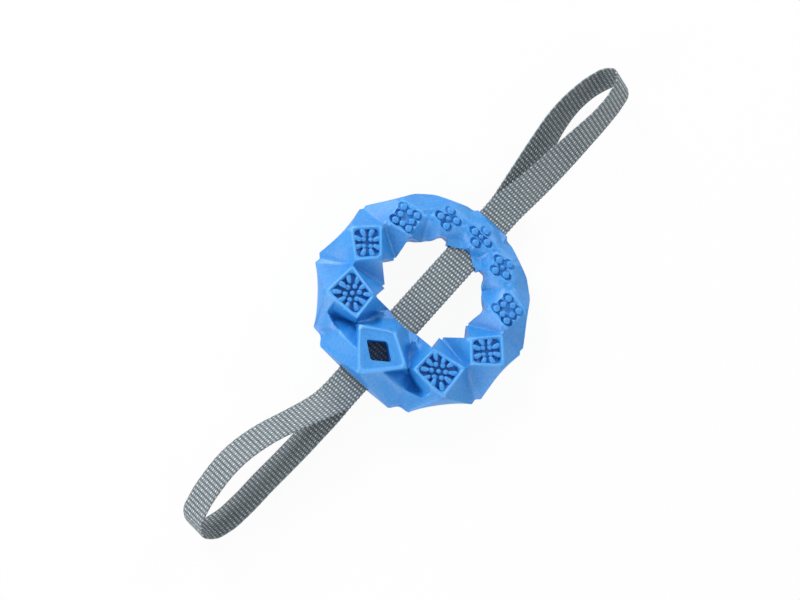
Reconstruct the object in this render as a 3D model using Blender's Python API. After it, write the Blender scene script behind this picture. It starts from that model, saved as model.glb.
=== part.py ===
"""Rubber ring dog toy on a band of flat webbing, at real size, in metres, +Z up.

The ring is one rubber moulding of ten diamond cells that shrink and soften from the strap
housing, at -X, to the plain far cell, at +X. It lies on its flat underside. An endless band
of webbing runs doubled through a slot in the housing and a slot in the far cell, and opens
into a handle loop at each end. The band's two ends lap over each other under the ring's
opening and are sewn there with a boxed cross.

The ring is drawn in its own frame, whose XY plane halves it, and is then turned about Y so
that its tapering underside lies flat on Z = 0. An azimuth is counted from the housing.
"""

import math

import bmesh
import bpy
import numpy as np
from mathutils import Matrix

# Ring: overall sizes
RING_RADIUS = 0.0800
HOLE_RADIUS = 0.0350
HOLE_OFFSET = 0.0125
HOUSING_THICKNESS = 0.0444
FAR_THICKNESS = 0.0246

# Ring: diamond cells, from the housing to the far cell
CELL_SPANS_DEG = (59.0, 45.5, 35.5, 31.0, 27.2, 22.6)
OUTER_RIM_SHARES = (0.70, 0.655, 0.73, 0.72, 0.59, 0.54)
INNER_RIM_SHARES = (0.695, 0.655, 0.62, 0.70, 0.67, 0.74)
RIM_HEIGHT_SHARES = (1.00, 0.90, 0.88, 0.86, 0.84, 0.84)
DOME_SHARES = (0.00, 0.00, 0.00, 0.03, 0.07, 0.08)
CORNER_GAP = 0.0042
OUTER_WALL_BULGE_SHARES = (0.045, 0.03, -0.01, -0.02, -0.03, 0.00)
INNER_WALL_BULGE_SHARES = (0.17, -0.15, -0.155, -0.17, -0.20, -0.17)

# Ring: valleys between neighbouring cells, from the housing to the far cell
BRIDGE_SHARES = (-0.05, 0.06, 0.105, 0.02, -0.06)
OUTER_PEAK_SHARES = (0.992, 1.013, 1.000, 0.978, 0.960)
PEAK_SHIFTS_DEG = (0.0, 4.2, 4.4, 1.2, 0.0)
PEAK_SPREADS_DEG = (11.0, 5.6, 4.0, 5.0, 5.0)
SADDLE_DROP_SHARES = (0.52, 0.09, 0.05, 0.02, 0.00)
VALLEY_DEPTH_SHARES = (0.20, 0.13, 0.08, -0.03, -0.06)
NOTCH_DEPTH_SHARES = (0.10, 0.065, 0.045, 0.0, 0.0)
ROUNDNESS_SHARES = (0.0, 0.0, 0.15, 0.85, 1.0)
VALLEY_POWERS = (2.6, 1.7, 1.5, 2.0, 2.0)

# Ring: pockets with nubs, one row for each kind of cell
RIM_WIDTH_SHARE = 0.085
POCKET_WALL_SHARES = (0.0, 0.20, 0.20, 0.22, 0.24, 0.24)
POCKET_DEPTH_SHARES = (0.0, 0.34, 0.33, 0.30, 0.26, 0.26)
BOWL_SHARE = 0.25
NUB_RADIUS = 0.0021
NUB_TIP_SHARE = 0.62
NUB_ROOT = 0.0012
NUB_BELOW_RIM = 0.0006
NUB_LEAN_SHARE = 0.45
NUB_NEAR_SHARE = 0.5
NUB_RING_SHARES = (
    (),
    ((10, 0.62, 1.0, 0.0), (6, 0.27, 0.6, 0.5), (1, 0.0, 0.6, 0.0)),
    ((8, 0.62, 1.0, 0.0), (4, 0.24, 0.6, 0.0)),
    ((4, 0.53, 0.9, 0.0), (4, 0.37, 0.85, 0.5)),
    ((4, 0.62, 0.9, 0.0), (1, 0.0, 0.7, 0.0)),
    ((4, 0.60, 0.9, 0.0), (1, 0.0, 0.7, 0.0)),
)
NUB_SIDES = 6

# Ring: recessed plate and window of the housing
PLATE_RIM_WIDTH = 0.0026
PLATE_RECESS = 0.0014
WINDOW_OUT_SHARE = -0.07
WINDOW_LENGTH = 0.0240
WINDOW_WIDTH = 0.0180
WINDOW_CORNER = 0.0022

# Webbing band and its slots
WEBBING_WIDTH = 0.0250
WEBBING_THICKNESS = 0.0020
LAYER_GAP = 0.0003
SLOT_SIDE_CLEARANCE = 0.0007
SLOT_TOP_CLEARANCE = 0.0006
HOUSING_MOUTH_FLARE = 0.0028
FAR_MOUTH_FLARE = 0.0008
MOUTH_DEPTH = 0.0040
HOUSING_MOUTH_OUT_SHARE = 0.675
FAR_MOUTH_OUT_SHARE = 0.54
OVERRUN = 0.0200

# Lapped and sewn joint of the band, under the ring's opening
LAP_LENGTH = 0.0300
LAP_SHIFT = 0.0060
LAP_STEP = 0.0080
LAP_LEVEL_SHARE = 0.2
THREAD_DIAMETER = 0.0008
STITCH_MARGIN = 0.0035
ROW_LIFT_SHARES = (0.0, 0.0, 0.12, 0.12, 0.24, 0.36)
THREAD_SIDES = 6

# Handles: each hinges where the webbing leaves the ring
HINGE_STANDOFF = 0.0080
HINGE_GAP = 0.0003
KNUCKLE_SIDES = 10

# Handle loops: stations along the loop, each a share of the loop's length
LOOP_STATION_SHARES = (0.0, 0.025, 0.06, 0.14, 0.30, 0.46, 0.62, 0.78, 0.90, 0.975, 1.0)
WIDE_LOOP_LENGTH = 0.1485
WIDE_LOOP_OPENING = 0.0388
WIDE_LOOP_LEAN_DEG = 46.0
WIDE_LOOP_SIDE_SHIFT = 0.0115
WIDE_OPENING_SHARES = (0.0, 0.0, 0.05, 0.24, 0.58, 0.87, 1.00, 0.95, 0.75, 0.38, 0.0)
WIDE_LEAN_SHARES = (0.0, 0.0, 0.16, 0.60, 0.95, 1.00, 1.00, 1.00, 0.99, 0.98, 0.97)
WIDE_SHIFT_SHARES = (0.0, 0.0, 0.0, 0.02, 0.35, 0.75, 1.00, 1.00, 0.97, 1.00, 1.00)
NARROW_LOOP_LENGTH = 0.1365
NARROW_LOOP_OPENING = 0.0290
NARROW_LOOP_LEAN_DEG = -55.0
NARROW_LOOP_SIDE_SHIFT = 0.0045
NARROW_OPENING_SHARES = (0.0, 0.0, 0.08, 0.36, 0.70, 0.89, 0.98, 0.93, 0.73, 0.38, 0.0)
NARROW_LEAN_SHARES = (0.0, 0.0, 0.10, 0.34, 0.55, 0.69, 0.87, 1.00, 1.00, 0.96, 0.94)
NARROW_SHIFT_SHARES = (0.0, 0.0, 0.02, 0.13, 0.38, 0.71, 1.00, 0.93, 0.71, 0.53, 0.49)
LOOP_SETTLE_SHARE = 0.50
LOOP_REST_SHARE = 0.5
LOOP_TIP_POWER = 8
LOOP_SEGMENTS = 22

# Meshing
EDGE_STEPS = 4
LAP_SEGMENTS = 6
WELD_DISTANCE = 0.00001

RUBBER = ("ring_rubber", (0.085, 0.330, 0.820, 1.0), 0.55)
WEBBING = ("webbing_grey", (0.180, 0.210, 0.215, 1.0), 0.80)
THREAD = ("thread_grey", (0.100, 0.115, 0.120, 1.0), 0.75)

# Sizes that follow from those above
HOUSING_MID = (RING_RADIUS + HOLE_RADIUS - HOLE_OFFSET) / 2
FAR_MID = (RING_RADIUS + HOLE_RADIUS + HOLE_OFFSET) / 2
TAPER = (HOUSING_THICKNESS - FAR_THICKNESS) / 2 / (HOUSING_MID + FAR_MID)
MID_HALF_HEIGHT = HOUSING_THICKNESS / 2 - TAPER * HOUSING_MID
LIE_ANGLE = math.atan(TAPER)
LAYER_OFFSET = (WEBBING_THICKNESS + LAYER_GAP) / 2
STACK_HALF = WEBBING_THICKNESS + LAYER_GAP / 2
SLOT_HALF_WIDTH = WEBBING_WIDTH / 2 + SLOT_SIDE_CLEARANCE
SLOT_HALF_HEIGHT = STACK_HALF + SLOT_TOP_CLEARANCE
CELLS = (0, 1, 2, 3, 4, 5, 4, 3, 2, 1)
EDGE_KNOTS = np.linspace(0.0, 1.0, EDGE_STEPS + 1)


def cell_azimuths():
    """Azimuths of the ten cells' middles and of the ten boundaries that follow them."""
    spans = np.radians([CELL_SPANS_DEG[kind] for kind in CELLS])
    spans *= 2 * math.pi / spans.sum()
    ends = np.cumsum(spans) - spans[0] / 2
    return ends - spans / 2, ends


def inner_radius(azimuth):
    """Distance from the ring's centre to the offset circle of its opening."""
    along = -HOLE_OFFSET * np.cos(azimuth)
    across = HOLE_OFFSET * np.sin(azimuth)
    return along + np.sqrt(HOLE_RADIUS**2 - across**2)


def half_height(x):
    """Half of the ring's thickness at x, tapering evenly from the housing to the far cell."""
    return MID_HALF_HEIGHT - TAPER * x


def ring_point(azimuth, out_share, up_share, outer=RING_RADIUS):
    """A point of the ring's cross-section: 1 out is the rim circle, 1 up is the top face."""
    inner = inner_radius(azimuth)
    radius = (outer + inner) / 2 + out_share * (outer - inner) / 2
    x = -radius * math.cos(azimuth)
    return np.array([x, radius * math.sin(azimuth), up_share * half_height(x)])


def beside(azimuth, boundary, distance):
    """The top point of a boundary's bridge, moved sideways by a distance along the ring."""
    top = ring_point(azimuth, BRIDGE_SHARES[boundary], 1.0)
    moved = top + distance * np.array([math.sin(azimuth), math.cos(azimuth), 0.0])
    moved[2] = half_height(moved[0])
    return moved


def ramp(share):
    """A rise from 0 to 1 that starts and ends level: 3 s^2 - 2 s^3."""
    return share**2 * (3 - 2 * share)


def line(start, end, knots):
    """Points along the straight line from start to end."""
    knots = np.asarray(knots)[:, None]
    return (1 - knots) * start + knots * end


def edge_to_peak(corner, azimuth, out_sign, boundary, side):
    """The equator edge from a cell's radial corner to the middle of the notch at its boundary.

    It is a quadratic curve up to the peak that lies beside the notch, on the cell's side of
    it. Its control point runs from the chord's middle, for a straight edge, to the height of
    the peak, for a rounded one. The last step goes down into the notch.
    """
    spread = math.radians(PEAK_SPREADS_DEG[boundary]) / 2
    outer = RING_RADIUS * (OUTER_PEAK_SHARES[boundary] if out_sign > 0 else 1)
    peak = ring_point(azimuth + side * spread, out_sign, 0.0, outer)
    middle = (corner + peak) / 2
    outward = np.array([-math.cos(azimuth), math.sin(azimuth), 0.0]) * out_sign
    lift = max(0.0, float((peak - middle) @ outward)) * ROUNDNESS_SHARES[boundary]
    control = middle + lift * outward
    knots = np.linspace(0.0, 1.0, EDGE_STEPS)[:, None]
    curve = (1 - knots) ** 2 * corner + 2 * knots * (1 - knots) * control + knots**2 * peak
    width = (RING_RADIUS - inner_radius(azimuth)) / 2
    notch = ring_point(azimuth, out_sign, 0.0, outer)
    notch = notch - NOTCH_DEPTH_SHARES[boundary] * width * outward
    return np.concatenate([curve, notch[None]])


def coons(bottom, top, left, right):
    """The surface that four edge curves enclose: both ruled sheets less the corners' sheet."""
    u = np.linspace(0.0, 1.0, len(bottom))[:, None, None]
    v = np.linspace(0.0, 1.0, len(left))[None, :, None]
    across = (1 - v) * bottom[:, None] + v * top[:, None]
    along = (1 - u) * left[None] + u * right[None]
    corners = (
        (1 - u) * (1 - v) * bottom[0]
        + u * (1 - v) * bottom[-1]
        + (1 - u) * v * top[0]
        + u * v * top[-1]
    )
    return across + along - corners


class Shell:
    """Grids of points gathered into one mesh, welded where their edges meet."""

    def __init__(self):
        self.points = []
        self.faces = []
        self.count = 0

    def add_grid(self, grid, mirror=True):
        """Adds a grid of points as quads and, with mirror, its reflection below the XY plane."""
        rows, columns = grid.shape[:2]
        index = np.arange(rows * columns).reshape(rows, columns)
        quads = np.stack(
            [index[:-1, :-1], index[1:, :-1], index[1:, 1:], index[:-1, 1:]], axis=-1
        ).reshape(-1, 4)
        for sign in (1, -1) if mirror else (1,):
            self.points.append(grid.reshape(-1, 3) * np.array([1, 1, sign]))
            self.faces.append(quads + self.count)
            self.count += rows * columns

    def mesh(self, name):
        """The welded mesh, with its faces pointing outwards."""
        mesh = bpy.data.meshes.new(name)
        mesh.from_pydata(np.concatenate(self.points), [], np.concatenate(self.faces))
        shell = bmesh.new()
        shell.from_mesh(mesh)
        bmesh.ops.remove_doubles(shell, verts=shell.verts, dist=WELD_DISTANCE)
        bmesh.ops.dissolve_degenerate(shell, edges=shell.edges, dist=WELD_DISTANCE)
        bmesh.ops.recalc_face_normals(shell, faces=shell.faces)
        if shell.calc_volume(signed=True) < 0:
            bmesh.ops.reverse_faces(shell, faces=shell.faces)
        shell.to_mesh(mesh)
        shell.free()
        return mesh


def square_loop(inset):
    """Places round a unit square, inset by a share of its side, in step with the edges."""
    along = inset + (1 - 2 * inset) * EDGE_KNOTS[:-1]
    low, high = np.full(EDGE_STEPS, inset), np.full(EDGE_STEPS, 1 - inset)
    places = np.concatenate(
        [
            np.stack([along, low], 1),
            np.stack([high, along], 1),
            np.stack([1 - along, high], 1),
            np.stack([low, 1 - along], 1),
        ]
    )
    return np.concatenate([places, places[:1]])


def diamond(corners, places):
    """Points of the sheet that a diamond's four corners span."""
    u, v = places[..., 0:1], places[..., 1:2]
    first, second, third, fourth = corners
    return (1 - u) * (1 - v) * first + u * (1 - v) * second + u * v * third + (1 - u) * v * fourth


def pocket_drop(kind, places, depth):
    """How far a cell's top lies below its diamond: a plain rim, a wall, and a bowl."""
    inset = np.minimum(places, 1 - places).min(axis=-1)
    wall = POCKET_WALL_SHARES[kind]
    fall = np.clip((inset - RIM_WIDTH_SHARE) / (wall - RIM_WIDTH_SHARE), 0, 1)
    bowl = np.clip((inset - wall) / (0.5 - wall), 0, 1)
    return depth * ((1 - BOWL_SHARE) * fall + BOWL_SHARE * bowl)


def cell_corners(index, middles, ends):
    """A cell's corners: beside the last boundary, outer, beside the next one, inner."""
    kind = CELLS[index]
    height = RIM_HEIGHT_SHARES[kind]
    last, after = CELLS[index - 1], CELLS[(index + 1) % len(CELLS)]
    return (
        beside(ends[index - 1], min(kind, last), CORNER_GAP / 2),
        ring_point(middles[index], OUTER_RIM_SHARES[kind], height),
        beside(ends[index], min(kind, after), -CORNER_GAP / 2),
        ring_point(middles[index], -INNER_RIM_SHARES[kind], height),
    )


def dome(kind, places, half):
    """How far the softer cells swell above their diamond; 16 u(1-u)v(1-v) is 1 in its middle."""
    swell = 16 * np.prod(places * (1 - places), axis=-1)
    return DOME_SHARES[kind] * half * swell


def add_top(shell, index, corners):
    """A cell's top: the housing's is a flat diamond, the others hold a pocket."""
    kind = CELLS[index]
    half = half_height(corners[1][0])
    depth = POCKET_DEPTH_SHARES[kind] * half
    up = np.array([0.0, 0.0, 1.0])
    floor_inset = POCKET_WALL_SHARES[kind]
    if floor_inset > 0:
        loops = []
        for inset in (0.0, RIM_WIDTH_SHARE, floor_inset):
            places = square_loop(inset)
            height = dome(kind, places, half) - pocket_drop(kind, places, depth)
            loops.append(diamond(corners, places) + height[:, None] * up)
        shell.add_grid(np.stack(loops, axis=1))
    across = floor_inset + (1 - 2 * floor_inset) * EDGE_KNOTS
    places = np.stack(np.meshgrid(across, across, indexing="ij"), axis=-1)
    height = dome(kind, places, half)
    if floor_inset > 0:
        height = height - pocket_drop(kind, places, depth)
    shell.add_grid(diamond(corners, places) + height[..., None] * up)


def valley_profile(boundary, count):
    """1 in the middle of a valley and 0 at both of its sides."""
    across = np.linspace(-1.0, 1.0, count)
    return 1 - np.abs(across) ** VALLEY_POWERS[boundary]


def add_valley(shell, before, after, azimuth, boundary, edges, out_sign, width):
    """The flank between two cells, from the bridge between their corners to the equator.

    It is sunk along its middle by v (1 - v)^2 of its depth, where v runs from the bridge to
    the equator and 27/4 brings the deepest place to 1.
    """
    corner_before, corner_after = before[2], after[0]
    radial = 1 if out_sign > 0 else 3
    equator = np.concatenate([edges[0], edges[1][-2::-1]])
    bridge = line(corner_before, corner_after, np.linspace(0.0, 1.0, len(equator)))
    profile = valley_profile(boundary, len(equator))
    drop = SADDLE_DROP_SHARES[boundary] * half_height(corner_before[0])
    bridge[:, 2] -= drop * profile
    left = line(corner_before, before[radial], EDGE_KNOTS)
    right = line(corner_after, after[radial], EDGE_KNOTS)
    sheet = coons(bridge, equator, left, right)
    inward = np.array([math.cos(azimuth) * out_sign, -math.sin(azimuth) * out_sign, -1.0])
    inward /= np.linalg.norm(inward)
    fall = 27 / 4 * EDGE_KNOTS * (1 - EDGE_KNOTS) ** 2 * VALLEY_DEPTH_SHARES[boundary] * width
    sheet += profile[:, None, None] * fall[None, :, None] * inward
    shell.add_grid(sheet)


def add_wall(shell, kind, edges, out_sign, azimuth, width):
    """A cell's upright wall: a diamond between its top and bottom corners and its two peaks.

    It bulges by 16 u (1 - u) v (1 - v) of its share, which is 1 in the diamond's middle.
    """
    toward_next, toward_last = edges[0][:-1], edges[1][:-1]
    flip = np.array([1, 1, -1])
    sheet = coons(toward_next, (toward_last * flip)[::-1], toward_last, (toward_next * flip)[::-1])
    shares = OUTER_WALL_BULGE_SHARES if out_sign > 0 else INNER_WALL_BULGE_SHARES
    knots = np.linspace(0.0, 1.0, len(toward_next))
    swell = 16 * np.outer(knots * (1 - knots), knots * (1 - knots))
    outward = np.array([-math.cos(azimuth), math.sin(azimuth), 0.0]) * out_sign
    sheet += (swell * shares[kind] * width)[..., None] * outward
    shell.add_grid(sheet, mirror=False)


def ring_shell():
    """The ring's outer skin with its pockets, before the nubs and slots."""
    middles, ends = cell_azimuths()
    shell = Shell()
    corners = [cell_corners(index, middles, ends) for index in range(len(CELLS))]
    for index in range(len(CELLS)):
        add_top(shell, index, corners[index])
    for out_sign, radial in ((1, 1), (-1, 3)):
        toward_next, toward_last = [], []
        for index in range(len(CELLS)):
            after = (index + 1) % len(CELLS)
            boundary = min(CELLS[index], CELLS[after])
            toward_housing = math.copysign(1.0, CELLS[index] - CELLS[after])
            azimuth = ends[index] + toward_housing * math.radians(PEAK_SHIFTS_DEG[boundary])
            width = (RING_RADIUS - inner_radius(azimuth)) / 2
            corner, next_corner = corners[index][radial], corners[after][radial]
            toward_next.append(edge_to_peak(corner, azimuth, out_sign, boundary, -1))
            toward_last.append(edge_to_peak(next_corner, azimuth, out_sign, boundary, 1))
            add_valley(
                shell,
                corners[index],
                corners[after],
                azimuth,
                boundary,
                (toward_next[-1], toward_last[-1]),
                out_sign,
                width,
            )
        for index in range(len(CELLS)):
            azimuth = middles[index]
            width = (RING_RADIUS - inner_radius(azimuth)) / 2
            edges = (toward_next[index], toward_last[index - 1])
            add_wall(shell, CELLS[index], edges, out_sign, azimuth, width)
    return shell.mesh("rubber_ring")


def nub_places(kind):
    """Where a cell's nubs stand in its diamond, and each one's size against the largest.

    Each ring of nubs has a count, a reach towards the diamond's corners, a size, and the
    share of a step by which it is turned.
    """
    for count, reach, size, turned in NUB_RING_SHARES[kind]:
        for step in range(count):
            turn = 2 * math.pi * (step + turned) / count
            square = abs(math.cos(turn)) + abs(math.sin(turn))
            yield np.array([math.cos(turn), math.sin(turn)]) * reach / math.sqrt(square), size


def add_nub(shell, foot, axis, radius, length):
    """A tapered nub with a blunt tip, as rings of points along its axis."""
    side = np.cross(axis, [0.0, 0.0, 1.0])
    side = np.array([1.0, 0.0, 0.0]) if np.linalg.norm(side) < 0.01 else side
    side = side / np.linalg.norm(side)
    other = np.cross(axis, side)
    turns = np.linspace(0, 2 * math.pi, NUB_SIDES + 1)
    circle = np.cos(turns)[:, None] * side + np.sin(turns)[:, None] * other
    stations = (
        (-NUB_ROOT, 0.0),
        (-NUB_ROOT, radius),
        (length, radius * NUB_TIP_SHARE),
        (length, 0.0),
    )
    rings = [foot + height * axis + size * circle for height, size in stations]
    shell.add_grid(np.stack(rings, axis=1))


def nubs_mesh():
    """All nubs, each a closed body that the ring takes in.

    A nub's place in its diamond, from -1 to 1 towards the corners, becomes a spot in the
    diamond's unit square, where its foot stands on the pocket's floor.
    """
    middles, ends = cell_azimuths()
    shell = Shell()
    for index in range(len(CELLS)):
        kind = CELLS[index]
        corners = cell_corners(index, middles, ends)
        half = half_height(corners[1][0])
        depth = POCKET_DEPTH_SHARES[kind] * half
        centre = diamond(corners, np.array([0.5, 0.5]))
        for place, size in nub_places(kind):
            spot = np.array([0.5 + (place[0] + place[1]) / 2, 0.5 + (place[1] - place[0]) / 2])
            rim = diamond(corners, spot)
            drop = float(pocket_drop(kind, spot, depth))
            foot = rim - np.array([0.0, 0.0, drop - float(dome(kind, spot, half))])
            inward = (centre - rim)[:2]
            near = max(np.linalg.norm(inward), drop / NUB_NEAR_SHARE)
            inward *= NUB_LEAN_SHARE * drop / near
            axis = np.array([*inward, drop - NUB_BELOW_RIM])
            length = float(np.linalg.norm(axis))
            add_nub(shell, foot, axis / length, NUB_RADIUS * size, length)
    return shell.mesh("nubs")


def prism_mesh(name, outline, low, high):
    """An upright prism over a closed outline of points."""
    count = len(outline)
    points = [(x, y, low) for x, y in outline] + [(x, y, high) for x, y in outline]
    sides = [(i, (i + 1) % count, (i + 1) % count + count, i + count) for i in range(count)]
    mesh = bpy.data.meshes.new(name)
    mesh.from_pydata(points, [], [*sides, range(count)[::-1], range(count, 2 * count)])
    shell = bmesh.new()
    shell.from_mesh(mesh)
    bmesh.ops.recalc_face_normals(shell, faces=shell.faces)
    shell.to_mesh(mesh)
    shell.free()
    return mesh


def window_outline():
    """The window's diamond in the housing's plate, with each corner cut across."""
    centre = -HOUSING_MID - WINDOW_OUT_SHARE * (RING_RADIUS - inner_radius(0.0)) / 2
    along, across = WINDOW_WIDTH / 2, WINDOW_LENGTH / 2
    tips = np.array([(along, 0), (0, across), (-along, 0), (0, -across)])
    share = WINDOW_CORNER / math.hypot(along, across)
    points = []
    for number, tip in enumerate(tips):
        points.append(tip + share * (tips[number - 1] - tip))
        points.append(tip + share * (tips[(number + 1) % len(tips)] - tip))
    return [(centre + x, y) for x, y in points]


def plate_cutter():
    """The shallow diamond recess in the housing's top plate."""
    middles, ends = cell_azimuths()
    corners = cell_corners(0, middles, ends)
    inset = PLATE_RIM_WIDTH / np.linalg.norm(corners[1] - corners[0])
    low, high = inset, 1 - inset
    top = diamond(corners, np.array([(low, low), (high, low), (high, high), (low, high)]))
    up = np.array([0.0, 0.0, 1.0])
    loop = [0, 1, 2, 3, 0]
    rings = (
        np.repeat(top.mean(0)[None] - PLATE_RECESS * up, 5, 0),
        (top - PLATE_RECESS * up)[loop],
        (top + OVERRUN * up)[loop],
        np.repeat(top.mean(0)[None] + OVERRUN * up, 5, 0),
    )
    shell = Shell()
    shell.add_grid(np.stack(rings, axis=1), mirror=False)
    return shell.mesh("plate_recess")


def mouth_places():
    """Where the slot leaves the ring along X, from the housing's outside to the far one."""
    housing_width = (RING_RADIUS - inner_radius(0.0)) / 2
    far_width = (RING_RADIUS - inner_radius(math.pi)) / 2
    housing_out = -HOUSING_MID - housing_width * HOUSING_MOUTH_OUT_SHARE
    far_out = FAR_MID + far_width * FAR_MOUTH_OUT_SHARE
    return housing_out, -inner_radius(0.0), inner_radius(math.pi), far_out


def slot_cutter():
    """One long cutter for both slots, flared at each of the four mouths."""
    housing_out, housing_in, far_in, far_out = mouth_places()
    flare = SLOT_HALF_HEIGHT + HOUSING_MOUTH_FLARE
    far_flare = SLOT_HALF_HEIGHT + FAR_MOUTH_FLARE
    stations = (
        (housing_out - OVERRUN, flare),
        (housing_out, flare),
        (housing_out + MOUTH_DEPTH, SLOT_HALF_HEIGHT),
        (housing_in - MOUTH_DEPTH, SLOT_HALF_HEIGHT),
        (housing_in, flare),
        (far_in, far_flare),
        (far_in + MOUTH_DEPTH, SLOT_HALF_HEIGHT),
        (far_out - MOUTH_DEPTH, SLOT_HALF_HEIGHT),
        (far_out, far_flare),
        (far_out + OVERRUN, far_flare),
    )
    signs = ((-1, -1), (1, -1), (1, 1), (-1, 1), (-1, -1))
    rings = [[(stations[0][0], 0, 0)] * len(signs)]
    for x, half in stations:
        rings.append([(x, a * SLOT_HALF_WIDTH, b * half) for a, b in signs])
    rings.append([(stations[-1][0], 0, 0)] * len(signs))
    shell = Shell()
    shell.add_grid(np.array(rings, float), mirror=False)
    return shell.mesh("slots")


def material(name, colour, roughness):
    """A plain shader of one colour."""
    made = bpy.data.materials.get(name) or bpy.data.materials.new(name)
    made.use_nodes = True
    shader = made.node_tree.nodes["Principled BSDF"]
    shader.inputs["Base Color"].default_value = colour
    shader.inputs["Roughness"].default_value = roughness
    return made


def place(name, mesh, finish, parent):
    """An object of the model, under its parent."""
    made = bpy.data.objects.new(name, mesh)
    bpy.context.scene.collection.objects.link(made)
    made.parent = parent
    mesh.materials.append(material(*finish))
    return made


def helper(name, mesh, parent):
    """A shape that only cuts or joins."""
    made = place(name, mesh, RUBBER, parent)
    made.hide_render = True
    made.display_type = "WIRE"
    return made


def combine(target, other, operation, crossing=False):
    """Joins another shape to the target, or cuts it out; crossing lets its bodies overlap."""
    modifier = target.modifiers.new(other.name, "BOOLEAN")
    modifier.object = other
    modifier.operation = operation
    modifier.solver = "EXACT"
    modifier.use_self = crossing


def make_ring(frame):
    """The rubber moulding."""
    ring = place("rubber_ring", ring_shell(), RUBBER, frame)
    combine(ring, helper("nub_shapes", nubs_mesh(), frame), "UNION", crossing=True)
    combine(ring, helper("plate_recess_cutter", plate_cutter(), frame), "DIFFERENCE")
    window = prism_mesh("window", window_outline(), 0.0, HOUSING_THICKNESS)
    combine(ring, helper("window_cutter", window, frame), "DIFFERENCE")
    combine(ring, helper("slot_cutter", slot_cutter(), frame), "DIFFERENCE")


def ribbon_mesh(name, centres, across):
    """Flat webbing along a path: four corners at each station, and an end cap each way."""
    run = np.gradient(centres, axis=0)
    normals = np.cross(run, across)
    normals /= np.linalg.norm(normals, axis=1)[:, None]
    side, face = across * WEBBING_WIDTH / 2, normals * WEBBING_THICKNESS / 2
    signs = ((-1, -1), (1, -1), (1, 1), (-1, 1), (-1, -1))
    grid = np.stack([centres + a * side + b * face for a, b in signs], axis=1)
    ends = [np.repeat(centres[i][None], len(signs), 0)[None] for i in (0, -1)]
    shell = Shell()
    shell.add_grid(np.concatenate([ends[0], grid, ends[1]]), mirror=False)
    return cut_alike(shell.mesh(name))


def cut_alike(mesh):
    """Cuts each quad along its diagonal towards +X and +Y, so that twisted layers stay apart."""
    shell = bmesh.new()
    shell.from_mesh(mesh)
    for face in [face for face in shell.faces if len(face.verts) == 4]:
        first, second, third, fourth = face.verts
        run = third.co - first.co
        ends = (first, third) if run.x * run.y > 0 else (second, fourth)
        bmesh.utils.face_split(face, *ends)
    shell.to_mesh(mesh)
    shell.free()
    return mesh


def strip_mesh(name, places):
    """Webbing that lies flat along X, through (x, z) places."""
    centres = np.array([(x, 0.0, z) for x, z in places])
    across = np.repeat([[0.0, 1.0, 0.0]], len(centres), 0)
    return ribbon_mesh(name, centres, across)


def run_ends():
    """Where the doubled webbing stops short of each handle's hinge, along X."""
    housing_out, _, _, far_out = mouth_places()
    back = STACK_HALF + HINGE_GAP
    return housing_out - HINGE_STANDOFF + back, far_out + HINGE_STANDOFF - back


def lap_ends():
    """The lapped joint's two ends along X, centred a little to the far side of the opening."""
    middle = HOLE_OFFSET - LAP_SHIFT
    return middle - LAP_LENGTH / 2, middle + LAP_LENGTH / 2


def make_band_runs(frame):
    """The doubled stretch through the ring: one layer above, and two lapped ends below."""
    start, end = run_ends()
    lap_start, lap_end = lap_ends()
    low = -LAYER_OFFSET - WEBBING_THICKNESS - LAYER_GAP
    share = np.linspace(0.0, 1.0, LAP_SEGMENTS + 1)
    along = lap_end + LAP_STEP * (LAP_LEVEL_SHARE + (1 - LAP_LEVEL_SHARE) * share)
    height = low - (LAYER_OFFSET + low) * ramp(share)
    runs = {
        "webbing_upper_run": [(start, LAYER_OFFSET), (end, LAYER_OFFSET)],
        "webbing_lower_end_a": [(start, -LAYER_OFFSET), (lap_end, -LAYER_OFFSET)],
        "webbing_lower_end_b": [(lap_start, low), *zip(along, height), (end, -LAYER_OFFSET)],
    }
    for name, places in runs.items():
        place(name, strip_mesh(name, places), WEBBING, frame)


def thread_bar(shell, start, end, radius):
    """One straight row of stitches as a closed bar."""
    run = (end - start) / np.linalg.norm(end - start)
    side = np.cross(run, [0.0, 0.0, 1.0])
    up = np.cross(side, run)
    turns = np.linspace(0, 2 * math.pi, THREAD_SIDES + 1)
    circle = np.cos(turns)[:, None] * side + np.sin(turns)[:, None] * up
    reach = radius * run
    rings = [
        np.repeat((start - reach)[None], THREAD_SIDES + 1, 0),
        start - reach + radius * circle,
        end + reach + radius * circle,
        np.repeat((end + reach)[None], THREAD_SIDES + 1, 0),
    ]
    shell.add_grid(np.stack(rings, axis=1), mirror=False)


def make_stitching(frame):
    """The boxed cross of thread on the underside of the lap, its rows at uneven heights."""
    lap_start, lap_end = lap_ends()
    low = -LAYER_OFFSET - WEBBING_THICKNESS - LAYER_GAP
    radius = THREAD_DIAMETER / 2
    height = low - WEBBING_THICKNESS / 2 - HINGE_GAP - radius
    left, right = lap_start + STITCH_MARGIN, lap_end - STITCH_MARGIN
    side = WEBBING_WIDTH / 2 - STITCH_MARGIN
    places = ((left, -side), (right, -side), (right, side), (left, side))
    corners = [np.array([x, y, height]) for x, y in places]
    rows = ((0, 1), (2, 3), (1, 2), (3, 0), (0, 2), (1, 3))
    bars = []
    for number, (start, end) in enumerate(rows):
        lift = np.array([0.0, 0.0, ROW_LIFT_SHARES[number] * radius])
        shell = Shell()
        thread_bar(shell, corners[start] + lift, corners[end] + lift, radius)
        bars.append(shell.mesh(f"stitch_row_{number}"))
    stitching = place("lap_stitching", bars[0], THREAD, frame)
    for number, mesh in enumerate(bars[1:]):
        combine(stitching, helper(f"stitch_row_{number}", mesh, frame), "UNION")


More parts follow.
